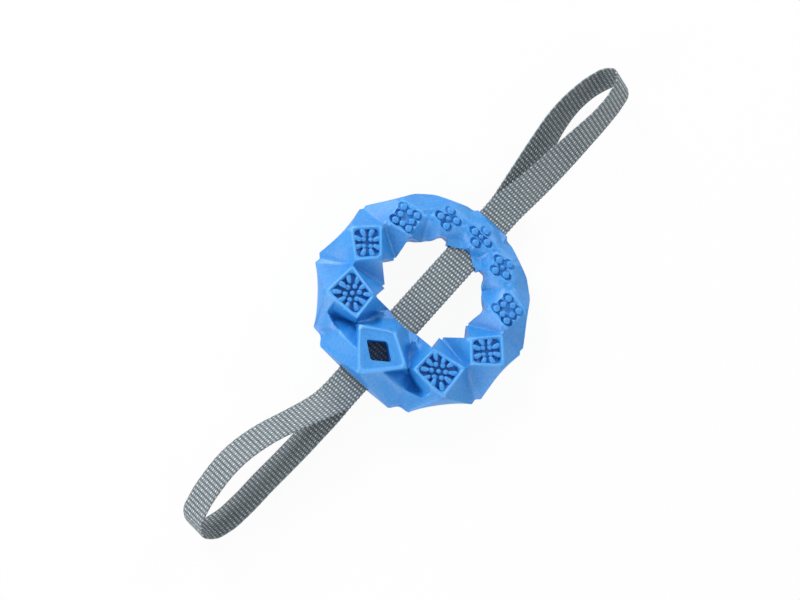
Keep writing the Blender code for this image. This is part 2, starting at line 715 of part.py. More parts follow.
def smooth_through(places, values, at):
    """A smooth curve through values at places: cubic, each slope taken from its neighbours."""
    places, values = np.array(places), np.array(values)
    slopes = np.gradient(values, places)
    index = np.clip(np.searchsorted(places, at, side="right") - 1, 0, len(places) - 2)
    step = places[index + 1] - places[index]
    share = (at - places[index]) / step
    rise = ramp(share)
    return (
        values[index] * (1 - rise)
        + values[index + 1] * rise
        + step * slopes[index] * share * (1 - share) ** 2
        - step * slopes[index + 1] * share**2 * (1 - share)
    )


def loop_path(sizes, tables, start_height):
    """A handle's centre line and width directions, outwards from its hinge and back.

    Stations give the loop's half opening, its lean and its sideways shift. The loop leans
    over until its lower edge rests on the ground, which sets its height past the bend. The
    first station is kept as a point of its own, because the band is flat up to it.
    """
    length, opening, lean_deg, side_shift = sizes
    share = 1 - (1 - np.linspace(0.0, 1.0, LOOP_SEGMENTS + 1)) ** 2
    share = np.insert(share, 1, LOOP_STATION_SHARES[1])
    half, lean, shift = [smooth_through(LOOP_STATION_SHARES, table, share) for table in tables]
    half = half.clip(0) * opening / 2
    half = np.maximum(half, LAYER_OFFSET * (1 - share**LOOP_TIP_POWER))
    half[-1] = 0.0
    lean = lean * math.radians(lean_deg)
    shift = shift * side_shift
    edge = WEBBING_WIDTH / 2 * np.abs(np.sin(lean))
    resting = (half + WEBBING_THICKNESS / 2) * np.cos(lean) + edge
    rest_height = float(resting[share > LOOP_REST_SHARE].max())
    settle = ramp(np.clip(share / LOOP_SETTLE_SHARE, 0, 1))
    height = start_height + (rest_height - start_height) * settle
    runs = []
    for side in (1, -1):
        sideways = shift + side * half * np.sin(lean)
        upwards = height + side * half * np.cos(lean)
        runs.append(np.stack([share * length, sideways, upwards], axis=1))
    across = np.stack([np.zeros_like(lean), np.cos(lean), -np.sin(lean)], axis=1)
    centres = np.concatenate([runs[0], runs[1][-2::-1]])
    return centres, np.concatenate([across, across[-2::-1]])


def make_handle(name, hinge, heading, sizes, tables):
    """A handle loop: webbing out from the hinge and back, closed by a rounded knuckle."""
    centres, across = loop_path(sizes, tables, hinge[2])
    centres[:, 0] = hinge[0] + heading * centres[:, 0]
    handle = place(name, ribbon_mesh(name, centres, across), WEBBING, None)
    turns = np.linspace(0, 2 * math.pi, KNUCKLE_SIDES, endpoint=False)
    outline = [(STACK_HALF * math.cos(t), STACK_HALF * math.sin(t)) for t in turns]
    knuckle = prism_mesh(name + "_knuckle", outline, -WEBBING_WIDTH / 2, WEBBING_WIDTH / 2)
    knuckle.transform(Matrix.Translation(hinge) @ Matrix.Rotation(math.pi / 2, 4, "X"))
    combine(handle, helper(name + "_knuckle", knuckle, None), "UNION")


def main():
    """Builds the toy, lying on Z = 0 with the middle of its footprint at the origin."""
    for old in list(bpy.data.objects):
        bpy.data.objects.remove(old)
    start, end = run_ends()
    back = STACK_HALF + HINGE_GAP
    wide_reach = -(start - back) * math.cos(LIE_ANGLE) + WIDE_LOOP_LENGTH
    narrow_reach = (end + back) * math.cos(LIE_ANGLE) + NARROW_LOOP_LENGTH
    frame = bpy.data.objects.new("ring_frame", None)
    bpy.context.scene.collection.objects.link(frame)
    lift = MID_HALF_HEIGHT * math.cos(LIE_ANGLE)
    shift = (wide_reach - narrow_reach) / 2
    turned = Matrix.Translation((shift, 0.0, lift)) @ Matrix.Rotation(LIE_ANGLE, 4, "Y")
    frame.matrix_world = turned
    make_ring(frame)
    make_band_runs(frame)
    make_stitching(frame)
    wide_hinge = turned @ Matrix.Translation((start - back, 0.0, 0.0))
    narrow_hinge = turned @ Matrix.Translation((end + back, 0.0, 0.0))
    make_handle(
        "handle_loop_housing_side",
        wide_hinge.translation,
        -1,
        (WIDE_LOOP_LENGTH, WIDE_LOOP_OPENING, WIDE_LOOP_LEAN_DEG, WIDE_LOOP_SIDE_SHIFT),
        (WIDE_OPENING_SHARES, WIDE_LEAN_SHARES, WIDE_SHIFT_SHARES),
    )
    make_handle(
        "handle_loop_far_side",
        narrow_hinge.translation,
        1,
        (NARROW_LOOP_LENGTH, NARROW_LOOP_OPENING, NARROW_LOOP_LEAN_DEG, NARROW_LOOP_SIDE_SHIFT),
        (NARROW_OPENING_SHARES, NARROW_LEAN_SHARES, NARROW_SHIFT_SHARES),
    )


main()
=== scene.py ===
"""Rubber ring dog toy with webbing handles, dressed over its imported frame.

The ring is drawn from the same cells as the frame's, with raised beads, ledges, nubbed
pockets and soft edges. The webbing is a plain weave whose floats stand up from its faces.
Lengths are in metres. The ring's own frame lies in its middle plane; an azimuth is counted
from the strap housing, at -X.
"""

from functools import cache
import math

import bmesh
import bpy
import numpy as np
from mathutils import Matrix, Vector


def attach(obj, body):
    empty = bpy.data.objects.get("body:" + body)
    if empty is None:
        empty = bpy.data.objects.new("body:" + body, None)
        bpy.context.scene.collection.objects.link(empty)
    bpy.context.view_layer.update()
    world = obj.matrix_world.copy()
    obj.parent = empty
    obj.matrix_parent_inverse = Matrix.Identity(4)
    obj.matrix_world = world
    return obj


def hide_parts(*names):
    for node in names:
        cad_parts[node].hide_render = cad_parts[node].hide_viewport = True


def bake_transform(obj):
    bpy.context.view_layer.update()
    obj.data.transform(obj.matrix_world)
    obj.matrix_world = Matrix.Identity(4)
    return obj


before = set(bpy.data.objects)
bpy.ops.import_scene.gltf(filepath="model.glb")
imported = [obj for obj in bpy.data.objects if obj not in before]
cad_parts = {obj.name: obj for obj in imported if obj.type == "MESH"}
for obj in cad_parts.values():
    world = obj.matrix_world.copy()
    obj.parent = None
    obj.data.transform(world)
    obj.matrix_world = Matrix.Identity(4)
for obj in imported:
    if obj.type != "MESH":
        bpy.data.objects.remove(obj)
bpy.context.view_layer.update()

# Ring sizes. Lists have an entry for each kind of cell or boundary, from the housing on.
RING_RADIUS = 0.0800
HOLE_RADIUS = 0.0350
HOLE_OFFSET = 0.0125
HOUSING_THICKNESS = 0.0444
FAR_THICKNESS = 0.0246
CELL_SPANS_DEG = (59.0, 45.5, 35.5, 31.0, 27.2, 22.6)
OUTER_RIM_SHARES = (0.70, 0.655, 0.73, 0.72, 0.59, 0.54)
INNER_RIM_SHARES = (0.695, 0.655, 0.62, 0.70, 0.67, 0.74)
RIM_HEIGHT_SHARES = (1.00, 0.90, 0.88, 0.86, 0.84, 0.84)
DOME_SHARES = (0.00, 0.00, 0.00, 0.03, 0.07, 0.08)
CORNER_GAP = 0.0042
OUTER_WALL_BULGE_SHARES = (0.045, 0.03, -0.01, -0.02, -0.03, 0.00)
INNER_WALL_BULGE_SHARES = (0.17, -0.15, -0.155, -0.17, -0.20, -0.17)
BRIDGE_SHARES = (-0.05, 0.06, 0.105, 0.02, -0.06)
OUTER_PEAK_SHARES = (0.992, 1.013, 1.000, 0.978, 0.960)
PEAK_SHIFTS_DEG = (0.0, 4.2, 4.4, 1.2, 0.0)
PEAK_SPREADS_DEG = (11.0, 5.6, 4.0, 5.0, 5.0)
SADDLE_DROP_SHARES = (0.52, 0.09, 0.05, 0.02, 0.00)
OUTER_VALLEY_DEPTH_SHARES = (-0.28, 0.13, 0.05, -0.09, -0.12)
INNER_VALLEY_DEPTH_SHARES = (-0.05, 0.13, 0.05, -0.10, -0.14)
NOTCH_DEPTH_SHARES = (0.10, 0.065, 0.045, 0.0, 0.0)
ROUNDNESS_SHARES = (0.0, 0.0, 0.15, 0.85, 1.0)
VALLEY_POWERS = (2.6, 1.7, 1.5, 2.0, 2.0)

# Beads, ledges and pockets, one entry for each kind of cell
BEAD_WIDTHS = (0.0020, 0.0013, 0.0013, 0.0012, 0.0011, 0.0011)
BEAD_HEIGHTS = (0.0005, 0.00045, 0.00042, 0.00028, 0.00010, 0.00012)
LEDGE_DROPS = (0.0007, 0.0003, 0.0003, 0.0002, 0.0001, 0.0001)
LEDGE_WIDTHS = (0.0, 0.0006, 0.0006, 0.0, 0.0, 0.0)
POCKET_DEPTH_SHARES = (0.0, 0.28, 0.28, 0.30, 0.30, 0.30)
# Painted highlight along the beads' rims: its strength for each kind of cell, its width as a share
# of the bead's, and the height band it is painted in
RIM_HIGHLIGHT_SHARES = (1, 1, 1, 0.8, 0.45, 0.5)
RIM_HIGHLIGHT_WIDTH_SHARE = 0.95
RIM_HIGHLIGHT_DEPTH = 0.0016

# Corners of the beads and pockets, and the pockets' walls
CORNER_ROUNDNESS = 0.075
POCKET_ROUNDNESS = 0.125
CORNER_FALL = 0.0019
CORNER_FALL_REACH = 0.0042
WALL_RUN = 0.0016
WALL_SHARE = 0.85
WALL_LEAD = 0.0002
WALL_STEPS = (0.45, 0.75, 1.0, 1.5)
POCKET_EDGE = 0.0003
ROUNDING_LEAD = 0.0008
ROUNDING_RUN = 0.0010

# Wells round the softer cells' nubs: stations of height and width
WELL_REACH = 0.0021
WELL_CLEARANCE = 0.0001
WELL_DEPTH = 0.0023
WELL_STATIONS = ((-1, 0.0), (-1, 0.75), (-0.8, 0.92), (-0.3, 1), (0, 1.05), (0.6, 1.15), (0.6, 0.0))
WELL_SIDES = 26
WELL_SETS = 5
CENTRE_WELL_RADII = (0.0031, 0.0019, 0.0019)

# Nubs: for each kind of cell, rings of (count, first turn, reach, length, radius, tip radius)
NUB_RINGS = {
    1: (
        (10, 0, 0.0115, 0.0036, 0.0024, 0.00135),
        (6, 12, 0.0052, 0.0, 0.0021, 0.0021),
        (1, 0, 0.0, 0.0, 0.0019, 0.0019),
    ),
    2: ((8, 22.5, 0.0090, 0.0030, 0.0023, 0.0015), (4, 0, 0.0036, 0.0, 0.0020, 0.0020)),
    3: ((4, 0, 0.0080, 0.0, 0.0026, 0.0026), (4, 45, 0.0048, 0.0, 0.0023, 0.0023)),
    4: ((4, 0, 0.0058, 0.0, 0.0026, 0.0026), (1, 0, 0.0, 0.0, 0.0019, 0.0019)),
    5: ((4, 0, 0.0058, 0.0, 0.0026, 0.0026), (1, 0, 0.0, 0.0, 0.0019, 0.0019)),
}
NUB_SPREAD = 0.0011
NUB_SIDES = 12
NUB_STATIONS = ((0.0, 1.10), (0.45, 1.02), (0.80, 0.95), (0.93, 0.80), (0.985, 0.50), (1.0, 0.0))
BUTTON_STATIONS = ((0.0, 1.04), (0.76, 1.0), (0.86, 0.95), (0.935, 0.82), (0.98, 0.55), (1.0, 0.0))
NUB_SINK = 0.0004
INNER_NUB_DROP = 0.0011
BUTTON_RISE = 0.0006
NUB_LEAN = 0.12
TEARDROP_BLEND = 1.6
TEARDROP_KEPT = 0.35

# Window in the housing's plate
WINDOW_OUT_SHARE = -0.07
WINDOW_LENGTH = 0.0240
WINDOW_WIDTH = 0.0180
WINDOW_CORNER = 0.0016
WINDOW_CORNER_STEPS = 6

# Lip over the webbing on the housing's inner side, round the opening's circle
LIP_HEIGHT = 0.0052
LIP_FADE = 0.0015
LIP_REACH = 0.0480
LIP_TURNS_DEG = (33.0, 37.0)

# Lips over the webbing at the far cell: lobes inside, one straight edge outside
FAR_LIP_MIDDLE = 0.0370
FAR_LIP_SIDE = 0.0332
FAR_LIP_LOBE = 0.0105
FAR_LIP_OUT = 0.0767
FAR_LIP_HALF_WIDTH = 0.0165
FAR_LIP_FADE = 0.0025
FAR_LIP_SPLIT = 0.0600

# Pits outside the housing's plate: a leaf falls from the plate's edge to a deep fold
PIT_FLOOR = 0.0035
PIT_LEAF_SLOPE = 1.0
PIT_EDGE_WIDTH = 0.0008
PIT_WALL_HEIGHT = 0.0180
PIT_END_SLOPE = 2.0
PIT_START_RADIUS = 0.0475
PIT_END_RADIUS = 0.0645
PIT_END = (-0.0488, 0.0371)

# Creases inside the housing's plate, and the swells between them and the opening
CREASE_RADIUS = 0.0385
CREASE_AZIMUTH_DEG = 28.0
CREASE_HALF_LENGTH = 0.0078
CREASE_HALF_WIDTH = 0.0062
CREASE_DEPTH = 0.0085
CREASE_FLOOR = 0.0040
SWELL_RADIUS = 0.0315
SWELL_HALF_LENGTH = 0.0070
SWELL_HALF_WIDTH = 0.0085
SWELL_HEIGHT = 0.0026

# Marks on the plate's bead: how far out, how far aside, radius and height
PLATE_MARKS = (
    (-0.0316, -0.0012, 0.0019, 0.0009),
    (-0.0318, 0.0030, 0.0015, -0.0013),
    (-0.0702, -0.0010, 0.0016, -0.0011),
)

# Webbing and its slots
WEBBING_WIDTH = 0.0250
WEBBING_THICKNESS = 0.0020
LAYER_GAP = 0.0003
SLOT_SIDE_CLEARANCE = 0.0007
SLOT_TOP_CLEARANCE = 0.0006
HOUSING_MOUTH_FLARE = 0.0028
LIP_MOUTH_FLARE = 0.0004
FAR_MOUTH_FLARE = 0.0008
MOUTH_DEPTH = 0.0040
HOUSING_MOUTH_OUT_SHARE = 0.675
FAR_MOUTH_OUT_SHARE = 0.54
OVERRUN = 0.0200
RIB_PITCH = 0.00203
PICK_PITCH = 0.00316
RIDGE_HEIGHT = 0.00013
LOW_FLOAT_SHARE = 0.55
FLOAT_HEIGHT = 0.00032
CORE_SHARE = 0.66
SELVEDGE = 0.0008
FACE_RIBS = 5.6
SELVEDGE_FADE = 0.0012
SELVEDGE_WAVE = 0.00025
PICK_SAMPLES = 5
WIDTH_SAMPLES = 64

# Lapped joint under the opening
LAP_LENGTH = 0.0300
LAP_SHIFT = 0.0060
LAP_STEP = 0.0080
LAP_STEP_START = 0.2
THREAD_DIAMETER = 0.0008
STITCH_MARGIN = 0.0035
STITCH_PITCH = 0.0026
STITCH_SHARES = (0.06, 0.88)
STITCH_RISE = 0.45
STITCH_SINK = 0.2

# Handles: each loop's length, opening, lean in degrees and sideways shift, and its shares of
# the last three at the stations
HINGE_STANDOFF = 0.0080
HINGE_GAP = 0.0003
BLEND_REACH = 0.0080
LOOP_JOIN = 0.0040
LOOP_START = 0.0030
LOOP_KNOTS = 121
WIDE_LOOP = (0.1485, 0.0388, 46.0, 0.0115)
NARROW_LOOP = (0.1365, 0.0290, -55.0, 0.0045)
LOOP_STATION_SHARES = (0.0, 0.025, 0.06, 0.14, 0.30, 0.46, 0.62, 0.78, 0.90, 0.975, 1.0)
WIDE_LOOP_SHARES = (
    (0.0, 0.0, 0.05, 0.24, 0.58, 0.87, 1.00, 0.95, 0.75, 0.38, 0.0),
    (0.0, 0.0, 0.16, 0.60, 0.95, 1.00, 1.00, 1.00, 0.99, 0.98, 0.97),
    (0.0, 0.0, 0.0, 0.02, 0.35, 0.75, 1.00, 1.00, 0.97, 1.00, 1.00),
)
NARROW_LOOP_SHARES = (
    (0.0, 0.0, 0.08, 0.36, 0.70, 0.89, 0.98, 0.93, 0.73, 0.38, 0.0),
    (0.0, 0.0, 0.10, 0.34, 0.55, 0.69, 0.87, 1.00, 1.00, 0.96, 0.94),
    (0.0, 0.0, 0.02, 0.13, 0.38, 0.71, 1.00, 0.93, 0.71, 0.53, 0.49),
)

# Where the loops' webbing takes over inside the slots, and how paths are stepped and eased
HOUSING_SEAM = -0.0690
FAR_SEAM = 0.0625
PATH_STEP = 0.0004
EASING_REACH = 0.0022
EASING_STEPS = 18
RUN_KNOTS = 12

# Colours: darker and lighter shades of a cloudy surface, and those of its details, among them
# painted highlights on the ring's bead rims and the webbing's floats
RUBBER_SHADES = ((0.000, 0.178, 0.545, 1), (0.004, 0.212, 0.595, 1))
RUBBER_SPECK = (0.055, 0.300, 0.69, 1)
# Painted highlight along the beads' rims
RIM_HIGHLIGHT = (0.060, 0.325, 0.74, 1)
YARN_SHADES = ((0.062, 0.078, 0.085, 1), (0.095, 0.115, 0.122, 1))
YARN_RIDGE = (0.18, 0.215, 0.235, 1)
# Painted highlights on the weave's floats, brightest on every third, taller float
FLOAT_HIGHLIGHT = (0.50, 0.56, 0.60, 1)
TALL_FLOAT_HIGHLIGHTS = ((0.78, 0.83, 0.86, 1), (0.93, 0.95, 0.96, 1))
THREAD_SHADES = ((0.06, 0.072, 0.076, 1), (0.15, 0.17, 0.18, 1))
FLOOR_GREY = (0.72, 0.72, 0.72, 1)
ROOM_GREY = (0.30, 0.31, 0.32, 1)
WHITE = (1, 1, 1, 1)

# What a surface's node group gives: each output and its kind
SURFACE_OUTPUTS = (("Color", "Color"), ("Roughness", "Float"), ("Normal", "Vector"))

# Room: how far the floor reaches, how low it lies, how white it is seen, and the lamps
FLOOR_REACH = 4.0
FLOOR_DROP = 0.0002
FLOOR_WHITENESS = 0.94
LAMPS = (
    ("key_lamp", (0.36, 1.20, 0.80), 0.6, 18),
    ("fill_lamp", (-0.45, -1.15, 0.70), 0.8, 7),
    ("left_lamp", (-1.20, 0.35, 0.65), 0.7, 11),
    ("right_lamp", (1.25, -0.10, 0.65), 0.7, 8),
)
LAMP_TARGET = (0, 0, 0.02)

# Camera over the photograph's frame
PIXEL = 0.000714
FRAME_WIDTH_PIXELS = 800
CAMERA_DISTANCE = 1.6
CAMERA_ROLL_DEG = 47.9
CAMERA_TILT_DEG = 4.0
CAMERA_TILT_TOWARD_DEG = 215.0
VIEW_CENTRE = (-0.0041, 0.01255, 0.0180)

# Steps along a cell's edge and into a notch, welding distance, and angles of sharp edges
EDGE_STEPS = 24
NOTCH_STEPS = 4
WELD_DISTANCE = 0.00001
SHARP_DEG = 38
BEAD_SHARP_DEG = 60

# Sizes that follow from those above
HOUSING_MID = (RING_RADIUS + HOLE_RADIUS - HOLE_OFFSET) / 2
FAR_MID = (RING_RADIUS + HOLE_RADIUS + HOLE_OFFSET) / 2
TAPER = (HOUSING_THICKNESS - FAR_THICKNESS) / 2 / (HOUSING_MID + FAR_MID)
MID_HALF_HEIGHT = HOUSING_THICKNESS / 2 - TAPER * HOUSING_MID
LIE_ANGLE = math.atan(TAPER)
LAYER_OFFSET = (WEBBING_THICKNESS + LAYER_GAP) / 2
STACK_HALF = WEBBING_THICKNESS + LAYER_GAP / 2
SLOT_HALF_WIDTH = WEBBING_WIDTH / 2 + SLOT_SIDE_CLEARANCE
SLOT_HALF_HEIGHT = STACK_HALF + SLOT_TOP_CLEARANCE
CELLS = (0, 1, 2, 3, 4, 5, 4, 3, 2, 1)
EDGE_KNOTS = np.linspace(0.0, 1.0, EDGE_STEPS + 1)
UP = np.array([0.0, 0.0, 1.0])
UNDER = np.array([1, 1, -1])


def cell_azimuths():
    """Azimuths of the cells' middles and of the boundaries after them, from their spans."""
    spans = np.radians([CELL_SPANS_DEG[kind] for kind in CELLS])
    spans *= 2 * math.pi / spans.sum()
    ends = np.cumsum(spans) - spans[0] / 2
    return ends - spans / 2, ends


MIDDLES, ENDS = cell_azimuths()


def inner_radius(azimuth):
    """Distance from the ring's centre to the offset circle of its opening."""
    across = HOLE_OFFSET * np.sin(azimuth)
    return -HOLE_OFFSET * np.cos(azimuth) + np.sqrt(HOLE_RADIUS**2 - across**2)


def half_height(x):
    """Half of the ring's thickness at x, tapering evenly from the housing."""
    return MID_HALF_HEIGHT - TAPER * x


def ring_point(azimuth, out_share, up_share, outer=RING_RADIUS):
    """A point of the ring's cross-section: 1 out is the rim circle, 1 up the top face."""
    inner = inner_radius(azimuth)
    radius = (outer + inner) / 2 + out_share * (outer - inner) / 2
    x = -radius * math.cos(azimuth)
    return np.array([x, radius * math.sin(azimuth), up_share * half_height(x)])


def beside(azimuth, boundary, distance):
    """The top point of a boundary's bridge, moved sideways along the ring."""
    top = ring_point(azimuth, BRIDGE_SHARES[boundary], 1.0)
    moved = top + distance * np.array([math.sin(azimuth), math.cos(azimuth), 0.0])
    moved[2] = half_height(moved[0])
    return moved


def line(start, end, knots):
    """Points along the straight line from start to end."""
    knots = np.asarray(knots)[:, None]
    return (1 - knots) * start + knots * end


def smooth(share):
    """A ramp from 0 to 1 that starts and ends level: 3s^2 - 2s^3."""
    share = np.clip(share, 0, 1)
    return share**2 * (3 - 2 * share)


def edge_to_peak(corner, azimuth, out_sign, boundary, side):
    """The equator edge from a cell's radial corner over its peak into the boundary's notch.

    Up to the peak it is a quadratic curve, whose control point rises with the boundary's
    roundness. The notch falls from the peak as a smooth ramp.
    """
    spread = math.radians(PEAK_SPREADS_DEG[boundary]) / 2
    outer = RING_RADIUS * (OUTER_PEAK_SHARES[boundary] if out_sign > 0 else 1)
    peak = ring_point(azimuth + side * spread, out_sign, 0.0, outer)
    middle = (corner + peak) / 2
    outward = np.array([-math.cos(azimuth), math.sin(azimuth), 0.0]) * out_sign
    lift = max(0.0, float((peak - middle) @ outward)) * ROUNDNESS_SHARES[boundary]
    control = middle + lift * outward
    knots = np.linspace(0.0, 1.0, EDGE_STEPS + 1 - NOTCH_STEPS)[:, None]
    curve = (1 - knots) ** 2 * corner + 2 * knots * (1 - knots) * control + knots**2 * peak
    width = (RING_RADIUS - inner_radius(azimuth)) / 2
    bottom = ring_point(azimuth, out_sign, 0.0, outer)
    fall = NOTCH_DEPTH_SHARES[boundary] * width
    steps = np.linspace(0.0, 1.0, NOTCH_STEPS + 1)[1:, None]
    notch = (1 - steps) * peak + steps * bottom - smooth(steps) * fall * outward
    return np.concatenate([curve, notch])


def coons(bottom, top, left, right):
    """The surface that four edge curves enclose: both ruled sheets less the corners' sheet."""
    u = np.linspace(0.0, 1.0, len(bottom))[:, None, None]
    v = np.linspace(0.0, 1.0, len(left))[None, :, None]
    across = (1 - v) * bottom[:, None] + v * top[:, None]
    along = (1 - u) * left[None] + u * right[None]
    corners = (
        (1 - u) * (1 - v) * bottom[0]
        + u * (1 - v) * bottom[-1]
        + (1 - u) * v * top[0]
        + u * v * top[-1]
    )
    return across + along - corners


def faced_outwards(mesh, weld):
    """A mesh with its faces turned outwards, first welded where its grids meet if asked."""
    shell = bmesh.new()
    shell.from_mesh(mesh)
    if weld:
        bmesh.ops.remove_doubles(shell, verts=shell.verts, dist=WELD_DISTANCE)
        bmesh.ops.dissolve_degenerate(shell, edges=shell.edges, dist=WELD_DISTANCE)
        bmesh.ops.recalc_face_normals(shell, faces=shell.faces)
    if shell.calc_volume(signed=True) < 0:
        bmesh.ops.reverse_faces(shell, faces=shell.faces)
    shell.to_mesh(mesh)
    shell.free()
    return mesh


def grids_mesh(name, grids):
    """One mesh of several grids of points, welded where their edges meet, faces outwards."""
    points, faces, count = [], [], 0
    for grid in grids:
        rows, columns = grid.shape[:2]
        index = np.arange(rows * columns).reshape(rows, columns) + count
        quads = np.stack([index[:-1, :-1], index[1:, :-1], index[1:, 1:], index[:-1, 1:]], -1)
        points.append(grid.reshape(-1, 3))
        faces.append(quads.reshape(-1, 4))
        count += rows * columns
    mesh = bpy.data.meshes.new(name)
    mesh.from_pydata(np.concatenate(points), [], np.concatenate(faces))
    return faced_outwards(mesh, weld=True)


def square_loop(inset):
    """Places round a unit square inset by a share of its side, in step with the edges."""
    along = inset + (1 - 2 * inset) * EDGE_KNOTS[:-1]
    low, high = np.full(EDGE_STEPS, inset), np.full(EDGE_STEPS, 1 - inset)
    sides = ((along, low), (high, along), (1 - along, high), (low, 1 - along))
    places = np.concatenate([np.stack(side, 1) for side in sides])
    return np.concatenate([places, places[:1]])


def softened(places, roundness):
    """Places in the unit square drawn in towards its middle near the diagonals.

    With a and b counted from the middle, and m the larger of them, the pull is
    roundness (|ab| / m^2)^8, which rounds only the corners of each square loop.
    """
    offset = 2 * places - 1
    size = np.maximum(np.abs(offset).max(-1, keepdims=True), 1e-9)
    near = (np.abs(offset).prod(-1, keepdims=True) / size**2) ** 8
    return 0.5 + offset * (1 - roundness * near) / 2


def diamond(corners, places):
    """Points of the sheet that a diamond's four corners span."""
    u, v = places[..., 0:1], places[..., 1:2]
    first, second, third, fourth = corners
    return (1 - u) * (1 - v) * first + u * (1 - v) * second + u * v * third + (1 - u) * v * fourth


def cell_corners(index):
    """A cell's corners: beside the last boundary, outer, beside the next one, inner."""
    kind = CELLS[index]
    last, after = CELLS[index - 1], CELLS[(index + 1) % len(CELLS)]
    return (
        beside(ENDS[index - 1], min(kind, last), CORNER_GAP / 2),
        ring_point(MIDDLES[index], OUTER_RIM_SHARES[kind], RIM_HEIGHT_SHARES[kind]),
        beside(ENDS[index], min(kind, after), -CORNER_GAP / 2),
        ring_point(MIDDLES[index], -INNER_RIM_SHARES[kind], RIM_HEIGHT_SHARES[kind]),
    )


def cell_side(corners):
    """The mean length of a cell's four edges."""
    return float(np.mean([np.linalg.norm(corners[i] - corners[i - 1]) for i in range(4)]))


def swell(kind, places, half):
    """How far the softer cells swell above their diamond: 16 u(1-u)v(1-v) of the dome."""
    return DOME_SHARES[kind] * half * 16 * np.prod(places * (1 - places), axis=-1)


def top_profile(kind, inset):
    """Height over a cell's diamond at a distance in from its edge: a bead, then a ledge."""
    width = BEAD_WIDTHS[kind]
    bead = np.sin(math.pi * np.clip(inset / width, 0, 1))
    ledge = smooth((inset - 0.6 * width) / (0.6 * width))
    return BEAD_HEIGHTS[kind] * bead - LEDGE_DROPS[kind] * ledge


def cell_top(index, corners):
    """A cell's top as loops that close in on its middle, and a grid over its middle.

    The loops carry the bead and the ledge. In the cells with an open pocket they then go
    down its wall, and the middle grid is its floor.
    """
    kind = CELLS[index]
    half = half_height(corners[1][0])
    side = cell_side(corners)
    depth = POCKET_DEPTH_SHARES[kind] * half if LEDGE_WIDTHS[kind] else 0.0
    width = BEAD_WIDTHS[kind]
    start = width + LEDGE_WIDTHS[kind]
    insets = [0, 0.15 * width, 0.35 * width, 0.55 * width, 0.75 * width, width, 1.25 * width]
    if depth:
        insets += [start - POCKET_EDGE, start, start + POCKET_EDGE]
        insets += [start + WALL_RUN * step for step in WALL_STEPS]
    loops = []
    for inset in insets:
        into_pocket = smooth((inset - start + ROUNDING_LEAD) / ROUNDING_RUN) if depth else 0.0
        roundness = CORNER_ROUNDNESS * min(1.0, inset / (0.35 * width))
        roundness += (POCKET_ROUNDNESS - CORNER_ROUNDNESS) * into_pocket
        places = softened(square_loop(inset / side), roundness)
        drop = depth * smooth((inset - start + WALL_LEAD) / WALL_RUN) * WALL_SHARE if depth else 0.0
        height = swell(kind, places, half) + top_profile(kind, inset) - drop
        loops.append(diamond(corners, places) + height[:, None] * UP)
    across = insets[-1] / side + (1 - 2 * insets[-1] / side) * EDGE_KNOTS
    square = np.stack(np.meshgrid(across, across, indexing="ij"), axis=-1)
    places = softened(square, roundness)
    offset = np.clip((np.minimum(square, 1 - square).min(-1) - across[0]) / (0.5 - across[0]), 0, 1)
    walls = smooth((insets[-1] - start + WALL_LEAD) / WALL_RUN)
    bowl = depth * (WALL_SHARE * walls + (1 - WALL_SHARE) * smooth(offset))
    height = swell(kind, places, half) + top_profile(kind, insets[-1]) - bowl
    return [np.stack(loops, axis=1), diamond(corners, places) + height[..., None] * UP]


def valley_profile(boundary, count):
    """1 in the middle of a valley and 0 at both of its sides: 1 - |t|^power."""
    return 1 - np.abs(np.linspace(-1.0, 1.0, count)) ** VALLEY_POWERS[boundary]


def flank(before, after, azimuth, boundary, edges, out_sign, width):
    """The valley between two cells, from the bridge between their corners to the equator.

    A Coons sheet over its four edges, sunk along its middle by 27/4 v(1-v)^2 of its depth.
    """
    radial = 1 if out_sign > 0 else 3
    equator = np.concatenate([edges[0], edges[1][-2::-1]])
    bridge = line(before[2], after[0], np.linspace(0.0, 1.0, len(equator)))
    profile = valley_profile(boundary, len(equator))
    bridge[:, 2] -= SADDLE_DROP_SHARES[boundary] * half_height(before[2][0]) * profile
    left = line(before[2], before[radial], EDGE_KNOTS)
    right = line(after[0], after[radial], EDGE_KNOTS)
    sheet = coons(bridge, equator, left, right)
    inward = np.array([math.cos(azimuth), -math.sin(azimuth), 0.0]) * out_sign - UP
    inward /= np.linalg.norm(inward)
    shares = OUTER_VALLEY_DEPTH_SHARES if out_sign > 0 else INNER_VALLEY_DEPTH_SHARES
    fall = 27 / 4 * EDGE_KNOTS * (1 - EDGE_KNOTS) ** 2 * shares[boundary] * width
    return sheet + profile[:, None, None] * fall[None, :, None] * inward


def upright_wall(kind, edges, out_sign, azimuth, width):
    """A cell's upright wall: a Coons sheet from corners to peaks, bulged 16 uv(1-u)(1-v)."""
    toward_next, toward_last = edges[0][:-NOTCH_STEPS], edges[1][:-NOTCH_STEPS]
    below_last, below_next = (toward_last * UNDER)[::-1], (toward_next * UNDER)[::-1]
    sheet = coons(toward_next, below_last, toward_last, below_next)
    shares = OUTER_WALL_BULGE_SHARES if out_sign > 0 else INNER_WALL_BULGE_SHARES
    knots = np.linspace(0.0, 1.0, len(toward_next))
    bulge = 16 * np.outer(knots * (1 - knots), knots * (1 - knots))
    outward = np.array([-math.cos(azimuth), math.sin(azimuth), 0.0]) * out_sign
    return sheet + (bulge * shares[kind] * width)[..., None] * outward


